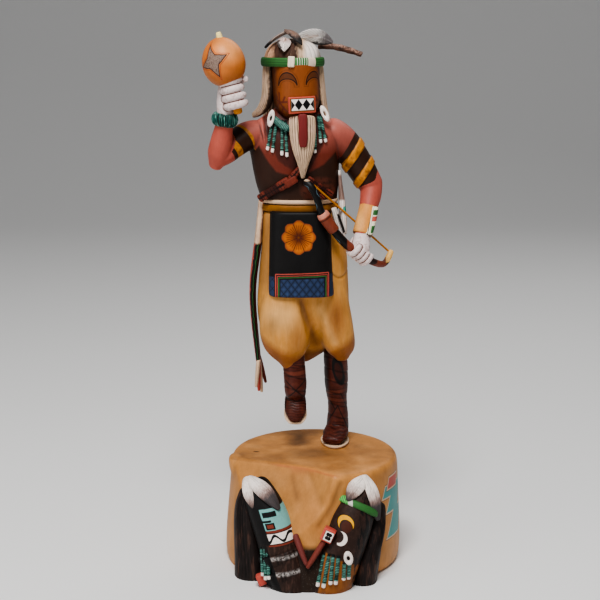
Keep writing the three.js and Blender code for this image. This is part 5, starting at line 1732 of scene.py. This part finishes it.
def peg_paint():
    """Pale yellow at the gourd's crown and ochre where the peg leaves the fist."""
    coat = Coat("peg_paint", (0.8, 0.66, 0.26), wander=0.3)
    _, _, z = coat.place()
    coat.lay(dim("ochre", 1.2), inside(z - 345, 3))
    coat.lay((0.12, 0.04, 0.01), inside(z - 325.4, 0.8) * 0.8)
    return coat.done(roughness=0.5, grain=0.3)


def gourd_paint():
    """Orange stain, paler at the top as a painted highlight and darker below as painted shade, with an
    incised star of four points, grey inside two thin outlines.
    """
    coat = Coat("gourd_stain", "gourd", wander=0.2)
    u, v, _ = coat.attribute("face")
    x, _, z = coat.place()
    # painted highlight at the top of the gourd; the next line paints shade over its lower part
    coat.lay("gourd_pale", oval(x, z, (-59, 370), (9, 8), 9) * 0.7)
    coat.lay(dim("gourd", 0.55), inside(z - 350, 10) * 0.7)
    a, b = u + 7.1, v - 2.2
    radius = length_of(a, b)
    turn = (b.math('ARCTAN2', a) - math.radians(12)).folded(TURN / 4)
    edge = (radius * turn.math('COSINE') - 14) * 0.422 + radius * turn.math('SINE') * 0.906
    coat.lay("star_grey", inside(edge + 1.2, 0.3))
    coat.lay((0.035, 0.012, 0.008), inside(edge + 1.2, 0.3) * coat.specks(0.45, 6, 1.3) * 0.6)
    coat.lay((0.04, 0.008, 0.005), inside(abs(edge + 1.1) - 0.35, 0.3))
    coat.lay((0.28, 0.035, 0.015), inside(abs(edge) - 0.22, 0.3) * 0.9)
    return coat.done(roughness=0.4, grain=0.12, uneven=0.3)


BOW_PATH = ((-5.6, -2.6, 277.6, 2.6, 2.6), (-2.6, -4.6, 275.6, 3, 3), (0.4, -5.4, 270.5, 2.7, 2.7),
    (2.8, -6, 264.3, 2.6, 2.6), (4.1, -6, 259, 2.7, 2.7), (6.4, -5.2, 253.6, 3.0, 3.0),
    (15.6, -2.9, 241.4, 3.2, 3.2), (21.5, -1, 234.3, 3.3, 3.3), (26.5, 1, 230.2, 3.4, 3.4),
    (32.9, 3.6, 225.4, 2.9, 2.9), (39.7, 8, 220.1, 2.8, 2.8), (46.5, 15, 216.3, 2.7, 2.7),
    (51.4, 20.6, 214.8, 2.6, 2.6), (54.2, 24.6, 218.6, 2.5, 2.5), (56.4, 27.4, 223.2, 2.2, 2.2))


class KACHINA_OT_bow(bpy.types.Operator):
    """Builds the bow with its wrapped length, and the string"""
    bl_idname = "kachina.bow"
    bl_label = "Bow"

    def execute(self, context):
        limb("bow_limbs", BOW_PATH, bow_paint(), "bow", "bow_wood", along=(1, 0, 1))
        limb("bow_wrap", [(5.4, -5.3, 256.2, 4.2, 4.2), (6.6, -5, 254.4, 5, 5),
            (7.8, -4.8, 252.4, 4.5, 4.5), (11.2, -4, 247.4, 4.4, 4.4), (14.4, -3.2, 243, 4.2, 4.2)],
            wrap_paint(), "bow", "bow_wood", along=(1, 0, 1), ends=0)
        limb("bow_string", [(-0.2, 0.9, 275.2, 0.8, 0.8), (27.4, 14, 249.4, 0.8, 0.8),
            (55, 27.2, 223.6, 0.8, 0.8)],
            plain_paint("string_tan", "ochre"), "bowstring", "string_cord", sides=8, ends=0)
        return {'FINISHED'}


def bow_paint():
    """Black limbs with thin blue-grey waves, a red-brown grip and foot, and pale tips."""
    coat = Coat("bow_paint", "black", wander=0.25)
    x, _, z = coat.place()
    across, ahead, reach = coat.attribute("place")
    wave = ahead.math('ARCTAN2', across) * 3 + (reach * 0.42).math('SINE') * 2.6
    line = inside(wave.folded(9.4) - 0.28, 0.3)
    coat.lay((0.1, 0.16, 0.19), line * inside(x - 24, 1) * 0.9)
    coat.lay("grip", between(x, 23.5, 33, 0.7))
    coat.lay("grip", inside(37 - x, 1) * inside(x - 53, 0.6))
    coat.lay("black", oval(x, z, (42.4, 219.4), (3.6, 2.6), 0.6) * 0.9)
    coat.lay((0.72, 0.42, 0.13), inside(52.4 - x, 0.6) * inside(216.6 - z, 0.8))
    coat.lay("cream", oval(x, z, (-5.4, 280.2), (3.4, 1.6), 0.6) * 0.8)
    return coat.done(roughness=0.42, grain=0.3, uneven=0.3)


def wrap_paint():
    """Red-brown leather with a pale upper rim."""
    coat = Coat("bow_wrap", "grip", wander=0.25)
    _, _, reach = coat.attribute("place")
    coat.lay((0.42, 0.16, 0.11), inside(reach - 3.2, 0.5))
    coat.lay(dim("grip", 0.3), inside(abs(reach - 4.2) - 0.4, 0.5) * 0.8)
    return coat.done(roughness=0.45, grain=0.25, uneven=0.4)


def feather_cut(points, angle, reach):
    """A raised quill down the middle of each face, and slanted barbs beside it."""
    across = np.abs(np.cos(angle))
    quill = -0.3 * np.exp(-(across / 0.13) ** 2)
    return quill + 0.13 * (1 + np.sin((reach - 4 * across) * 5.2))


def feather_paint(name, ground, tip, length, start):
    """One colour at the root, another from this share of the length on, and painted shadow along the lower
    edge near the root.
    """
    coat = Coat(name, ground, wander=0.5)
    across, _, reach = coat.attribute("place")
    streaks = coat.noise(0.9, (1, 0.3, 0.3))
    coat.lay(tip, ((reach / length - start) * 4 + (streaks - 0.5) * 1.6).clamped())
    coat.lay(dim(ground, 0.35), ((streaks - 0.58) * 7).clamped() * 0.45)
    coat.lay((0.02, 0.015, 0.013), inside(abs(across) - 0.07, 0.05) * 0.5)
    share = reach / length
    # painted shadow along the lower edge near the root
    coat.lay((0.012, 0.01, 0.01), inside(across + 0.62, 0.15) * inside(0.35 - share, 0.1) * 0.9)
    coat.lay((0.26, 0.12, 0.06), inside(abs(across - 0.1) - 0.12, 0.2)
        * between(share, 0.25, 0.6, 0.1) * 0.6)
    return coat.done(roughness=0.6, grain=0.25, uneven=0.25, wash=0.7)


class KACHINA_OT_feathers(bpy.types.Operator):
    """Builds the feathers and the plume on the crown"""
    bl_idname = "kachina.feathers"
    bl_label = "Feathers"

    def execute(self, context):
        black = (0.012, 0.01, 0.01)
        rows = {
            "feather_left": ((-19.4, 17, 381.2), (-34.4, 10, 370.8), 3.3, 1.6, (0.5, -0.62, 0.6),
                "feather_grey", (0.36, 0.28, 0.24), black, 0.6),
            "feather_front": ((-21, 15.4, 376.5), (-21.2, 0.8, 368.6), 5.4, 2.6, (1, 0, 0), "feather_pale",
                (0.62, 0.46, 0.41), (0.78, 0.68, 0.62), 0.45),
            "feather_middle": ((-20.4, 15, 382.2), (-8.8, 2, 373.2), 3.5, 2.4, (0.8, 0.5, 0.4),
                "feather_brown", (0.22, 0.14, 0.11), black, 0.55),
            "feather_broad": ((-11.5, 21, 377.4), (12.8, 15, 374.4), 6.8, 2.6, (0.15, -0.45, 0.88),
                "feather_white", (0.74, 0.7, 0.66), (0.16, 0.14, 0.14), 0.55),
        }
        profile = ((0, 0.3), (0.15, 0.62), (0.4, 0.95), (0.65, 1), (0.85, 0.7), (1, 0.2))
        for node, (root, tip, wide, arch, flat, slot, ground, end_tint, start) in rows.items():
            paint = feather_paint(f"{node}_paint", ground, end_tint,
                (Vector(tip) - Vector(root)).length, start)
            feather(f"crown_{node}", root, tip, profile, 0.4, wide, sizes().feather_thickness, (0, arch),
                paint, node, slot, cut=feather_cut, along=flat, ends=0.4, levels=3)
        downy = lambda points, angle, reach: 0.3 * mottle(points, 1.6, 2.0) + 0.3
        limb("crown_plume", [(3.5, 25, 371.6, 2.6, 2.2), (14, 23, 371.6, 2.7, 2.2),
            (25, 22, 368.8, 2.6, 2.1), (33.6, 22, 365.8, 2.3, 1.9)],
            plume_paint(), "plume", "plume_brown", cut=downy, along=(0, 0, 1), ends=0.4)
        return {'FINISHED'}


def plume_paint():
    """Rough brown down with paler specks along its upper edge as a painted highlight."""
    coat = Coat("plume_paint", (0.1, 0.045, 0.028), wander=0.6)
    across, _, _ = coat.attribute("place")
    speck = coat.specks(0.42, 6, 0.9)
    # painted highlight: paler specks along the upper side
    coat.lay((0.42, 0.26, 0.2), speck * inside(0.1 - across, 0.6) * 0.9)
    coat.lay((0.02, 0.01, 0.008), coat.specks(0.56, 8, 0.6, (0.4, 1, 1)) * 0.8)
    return coat.done(roughness=0.75, grain=0.4, uneven=0.4)


# ---------- stage ----------

FLOOR_SIZE, WALL_HEIGHT, COVE_RADIUS = 7, 4, 1.8  # metres
CAMERA_DROP = 11.11  # degrees below level


class KACHINA_OT_stage(bpy.types.Operator):
    """Builds the floor, the lights and the camera"""
    bl_idname = "kachina.stage"
    bl_label = "Stage"

    def execute(self, context):
        deselect()
        bpy.ops.mesh.primitive_plane_add(size=FLOOR_SIZE)
        floor = bpy.context.object
        floor.name = "floor"

        def take(wanted):
            bpy.ops.mesh.select_all(action='DESELECT')
            bpy.ops.object.mode_set(mode='OBJECT')
            for edge in floor.data.edges:
                edge.select = all(wanted(floor.data.vertices[k].co) for k in edge.vertices)
            bpy.ops.object.mode_set(mode='EDIT')
        bpy.ops.object.mode_set(mode='EDIT')
        bpy.ops.mesh.select_mode(type='EDGE')
        take(lambda spot: spot.y > 1)
        bpy.ops.mesh.extrude_region_move(TRANSFORM_OT_translate={"value": (0, 0, WALL_HEIGHT)})
        take(lambda spot: spot.y > 1 and abs(spot.z) < 0.01)
        bpy.ops.mesh.bevel(offset=COVE_RADIUS, segments=24, affect='EDGES')
        bpy.ops.object.mode_set(mode='OBJECT')
        smooth_shaded(floor)
        paper = bpy.data.materials.new("floor_paper")
        paper.use_nodes = True
        shader = paper.node_tree.nodes["Principled BSDF"]
        shader.inputs["Base Color"].default_value = (0.8, 0.79, 0.775, 1)
        shader.inputs["Roughness"].default_value = 0.9
        floor.data.materials.append(paper)
        for name, spot, power, extent in (("key_light", (-0.12, -0.75, 1.35), 22, 0.5),
                ("fill_light", (-1.1, -0.9, 0.6), 5, 1.0), ("back_light", (0.5, 0.9, 1.3), 4, 0.8)):
            data = bpy.data.lights.new(name, 'AREA')
            data.energy = power
            data.size = extent
            light = bpy.data.objects.new(name, data)
            light.location = spot
            light.rotation_euler = (Vector((0, 0, 0.2)) - Vector(spot)).to_track_quat('-Z', 'Y').to_euler()
            context.collection.objects.link(light)
        world = context.scene.world or bpy.data.worlds.new("studio")
        context.scene.world = world
        world.use_nodes = True
        sky = world.node_tree.nodes["Background"]
        sky.inputs["Color"].default_value = (0.75, 0.76, 0.78, 1)
        sky.inputs["Strength"].default_value = 0.26
        context.scene.view_settings.look = 'AgX - Medium High Contrast'
        camera = bpy.data.objects.new("camera", bpy.data.cameras.new("camera"))
        camera.data.lens = 87
        camera.data.sensor_width = 36
        camera.location = (-0.01, -1.02, 0.393)
        camera.rotation_euler = (math.radians(90 - CAMERA_DROP), 0, 0)
        context.collection.objects.link(camera)
        context.scene.camera = camera
        return {'FINISHED'}


class KACHINA_PT_panel(bpy.types.Panel):
    """Lists the sizes, the colours and the operators"""
    bl_label = "Kachina Doll"
    bl_idname = "KACHINA_PT_panel"
    bl_space_type = 'VIEW_3D'
    bl_region_type = 'UI'
    bl_category = "Kachina Doll"

    def draw(self, context):
        layout = self.layout
        for group in (context.scene.doll_sizes, context.scene.doll_colours):
            box = layout.box()
            for name in group.__annotations__:
                box.prop(group, name)
        for operator in OPERATORS:
            layout.operator(operator.bl_idname)


OPERATORS = (KACHINA_OT_base, KACHINA_OT_left_relief, KACHINA_OT_right_relief, KACHINA_OT_head,
    KACHINA_OT_hair,
    KACHINA_OT_ornaments, KACHINA_OT_body, KACHINA_OT_kilt, KACHINA_OT_cloth, KACHINA_OT_hands,
    KACHINA_OT_legs, KACHINA_OT_rattle, KACHINA_OT_bow, KACHINA_OT_feathers, KACHINA_OT_stage)
CLASSES = (DollSizes, DollColours, *OPERATORS, KACHINA_PT_panel)


def register():
    for item in CLASSES:
        bpy.utils.register_class(item)
    bpy.types.Scene.doll_sizes = PointerProperty(type=DollSizes)
    bpy.types.Scene.doll_colours = PointerProperty(type=DollColours)


def unregister():
    del bpy.types.Scene.doll_colours
    del bpy.types.Scene.doll_sizes
    for item in reversed(CLASSES):
        bpy.utils.unregister_class(item)


def main():
    register()
    wood_surface_group()
    brush_edge_group()
    for operator in OPERATORS:
        group, name = operator.bl_idname.split(".")
        getattr(getattr(bpy.ops, group), name)()


if __name__ == "__main__":
    main()
